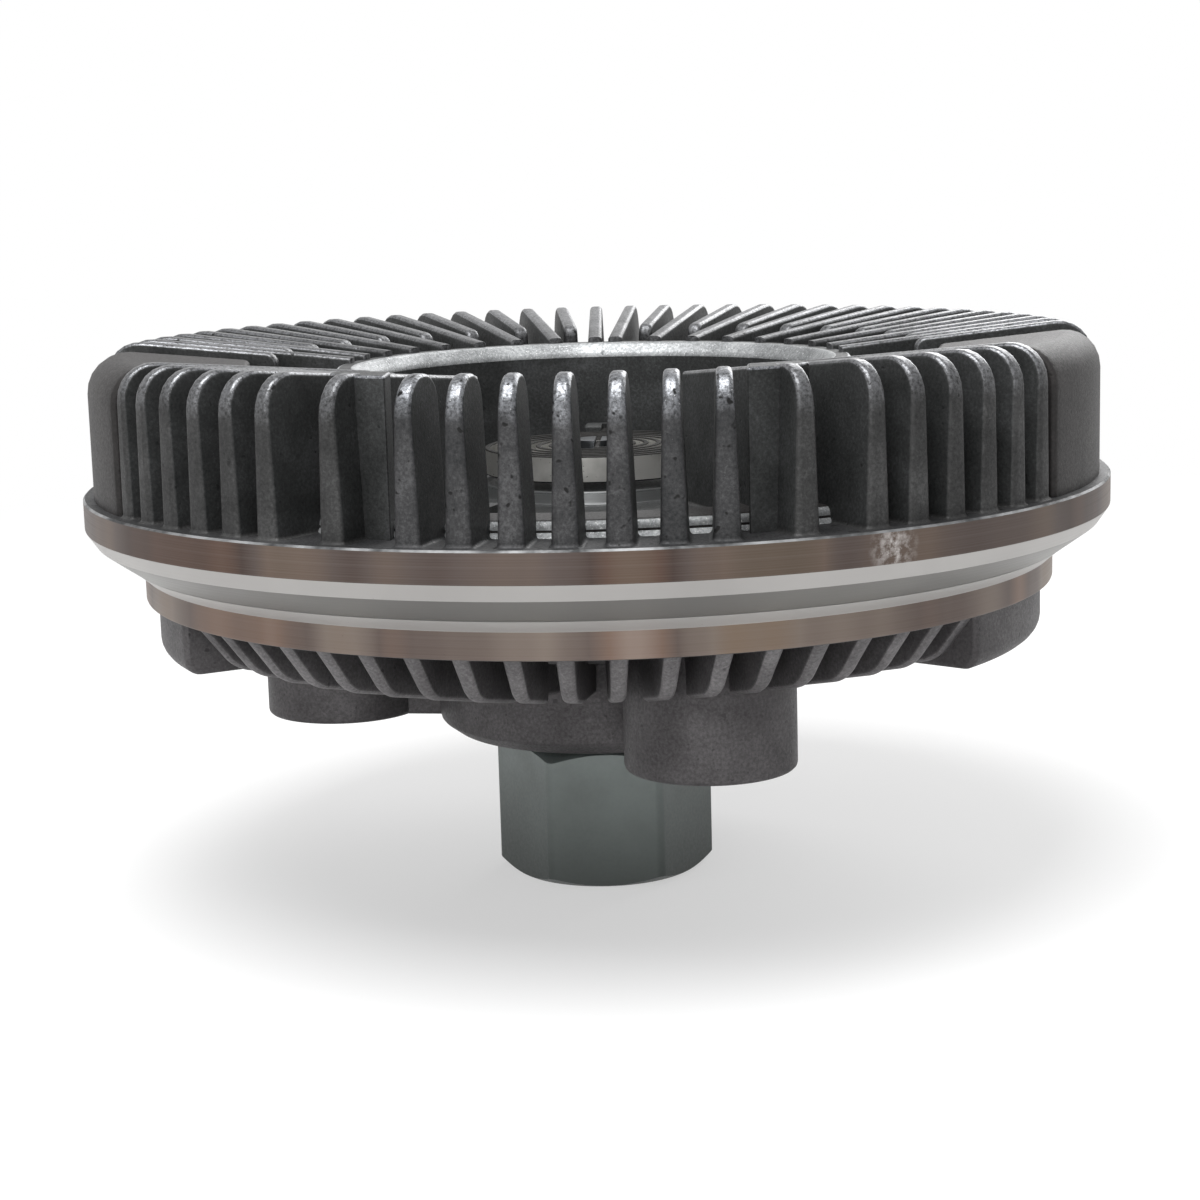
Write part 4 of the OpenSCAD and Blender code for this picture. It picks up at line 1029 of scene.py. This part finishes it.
def make_coil():
    """Strip wound in half turns about two centres, with its ends bent into their slots."""
    coil = bmesh.new()
    points = [(COIL_R, COIL_Z), (COIL_R + STRIP_T, COIL_Z), (COIL_R + STRIP_T, COIL_TOP), (COIL_R, COIL_TOP)]
    strip = outline_face(coil, points, (STRIP_EDGE_R,) * 4)
    for i in range(COIL_HALVES):
        strip = sweep(coil, strip, math.pi, COIL_STEPS, axis_x=i % 2 * COIL_PITCH / 2)

    def tab(low_x, high_x):
        return soft_box((low_x, COIL_TAB_FIT, COIL_Z), (high_x, STRIP_T, COIL_TOP), STRIP_EDGE_R, 0)

    tabs = tab(-VALVE_R, COIL_R + STRIP_T), tab(-COIL_END_R - COIL_TAB_L, -COIL_END_R)
    made = fused(coil, [("UNION", bm) for bm in tabs], [bimetal])
    bmesh.ops.transform(made, matrix=at(0), verts=made.verts)
    made.normal_update()
    # Faces that point up or down take the dark edge finish: painted shade on the strip's top and bottom
    for face in made.faces:
        face.material_index = int(abs(face.normal.z) > LEAST_SLOPE)
    place("bimetal_coil", "bimetal_coil_made", made, [bimetal, bimetal_shaded_edge], "housing", "bimetal_strip")


# Solids that keep their shape

node_finishes = {
    disc_aluminium: ["rotor", "plate_rivets"],
    spring_steel: ["rotor_lock_ring", "bearing_retaining_ring", "valve_shaft", "valve_retaining_clip",
                   "return_passage_plugs"],
    ground_steel: ["bearing_inner_race", "bearing_outer_race", "bearing_balls"],
    sheet_steel: ["pump_plate", "valve_arm"],
    brass: ["bearing_cage", "valve_shaft_bushing"],
    seal_rubber: ["bearing_front_seal", "bearing_rear_seal", "housing_seal_ring", "valve_shaft_seal"],
    wiper_plastic: ["pump_wipers"],
}


def dress_nodes():
    for finish, names in node_finishes.items():
        for name in names:
            for material_slot in nodes[name].material_slots:
                material_slot.material = finish


# Camera, light and floor

CAMERA_AT = (0.02466, -0.45533, 0.1325)
CAMERA_DOWN_DEG = 10.1
CAMERA_TURN_DEG = 3.1
CAMERA_ROLL_DEG = -1.58
CAMERA_LENS = 72.94
# Distances between which the floor goes from a shadowed to a plain white one
FLOOR_WHITENS = (0.2, 0.6)
FLOOR_R = 30
FLOOR_GREY = 0.93
# Drop of the floor under the part, so that the two faces don't meet
FLOOR_DROP = 0.0002
# Strength of the world's light on the part
WORLD_LIGHT = 0.35
# Place, size and power of each lamp, and the point that all of them face
LAMPS = {
    "key": ((-0.12, -0.3, 0.95), 0.6, 11),
    "fill": ((-0.8, -0.75, 0.3), 0.8, 2),
    "front": ((-0.1, -1, 0.1), 0.5, 3),
    "rim": ((0.35, 0.7, 0.55), 0.6, 5),
}
LAMP_TARGET = (0, 0, 0.07)


def add_camera():
    data = bpy.data.cameras.new("camera")
    data.lens = CAMERA_LENS
    camera = bpy.data.objects.new("camera", data)
    turns = ((CAMERA_TURN_DEG, "Z"), (90 - CAMERA_DOWN_DEG, "X"), (CAMERA_ROLL_DEG, "Z"))
    matrix = Matrix.Translation(CAMERA_AT)
    for degrees, axis in turns:
        matrix = matrix @ Matrix.Rotation(math.radians(degrees), 4, axis)
    camera.matrix_world = matrix
    bpy.context.scene.collection.objects.link(camera)
    bpy.context.scene.camera = camera


def add_lamp(name, at_point, size, power):
    """Square soft lamp turned to a point."""
    data = bpy.data.lights.new(name, "AREA")
    data.size = size
    data.energy = power
    lamp = bpy.data.objects.new(name, data)
    aim = Vector(LAMP_TARGET) - Vector(at_point)
    lamp.matrix_world = Matrix.Translation(at_point) @ aim.to_track_quat("-Z", "Y").to_matrix().to_4x4()
    bpy.context.scene.collection.objects.link(lamp)


def white_for_sight(tree):
    """Share of white seen by the camera and in reflections."""
    path = add_node(tree, "LightPath", {})
    seen = combine(tree, "MAXIMUM", path.outputs["Is Camera Ray"], path.outputs["Is Glossy Ray"])
    return combine(tree, "MAXIMUM", seen, path.outputs["Is Transmission Ray"])


def add_world():
    world = bpy.data.worlds.new("studio")
    world.use_nodes = True
    bpy.context.scene.world = world
    tree = world.node_tree
    background = tree.nodes["Background"]
    background.inputs["Color"].default_value = (1, 1, 1, 1)
    tree.links.new(spread(tree, white_for_sight(tree), 0, 1, WORLD_LIGHT, 1), background.inputs["Strength"])


def add_floor():
    bm = bmesh.new()
    bmesh.ops.create_circle(bm, cap_ends=True, segments=96, radius=FLOOR_R)
    bmesh.ops.translate(bm, verts=bm.verts, vec=(0, 0, -FLOOR_DROP))
    made, tree, shader = new_finish("floor_white", Roughness=0.9, Specular_IOR_Level=0,
                                    Base_Color=(*[FLOOR_GREY] * 3, 1))
    glow = add_node(tree, "Emission", {"Color": (1, 1, 1, 1), "Strength": 1.0})
    distance = add_node(tree, "VectorMath", {0: object_point(tree)}, operation="LENGTH").outputs["Value"]
    whiteness = spread(tree, distance, *FLOOR_WHITENS, 0.5, 1)
    share = combine(tree, "MULTIPLY", white_for_sight(tree), whiteness)
    both = add_node(tree, "MixShader", {0: share, 1: shader.outputs["BSDF"], 2: glow.outputs["Emission"]})
    tree.links.new(both.outputs["Shader"], tree.nodes["Material Output"].inputs["Surface"])
    floor = as_object("floor", bm, [made])


make_front_cover()
make_rear_body()
make_drive_shaft()
make_coil()
dress_nodes()
add_camera()
add_world()
add_floor()
for lamp_name, lamp_values in LAMPS.items():
    add_lamp(lamp_name, *lamp_values)
bpy.context.scene.view_settings.view_transform = "Standard"
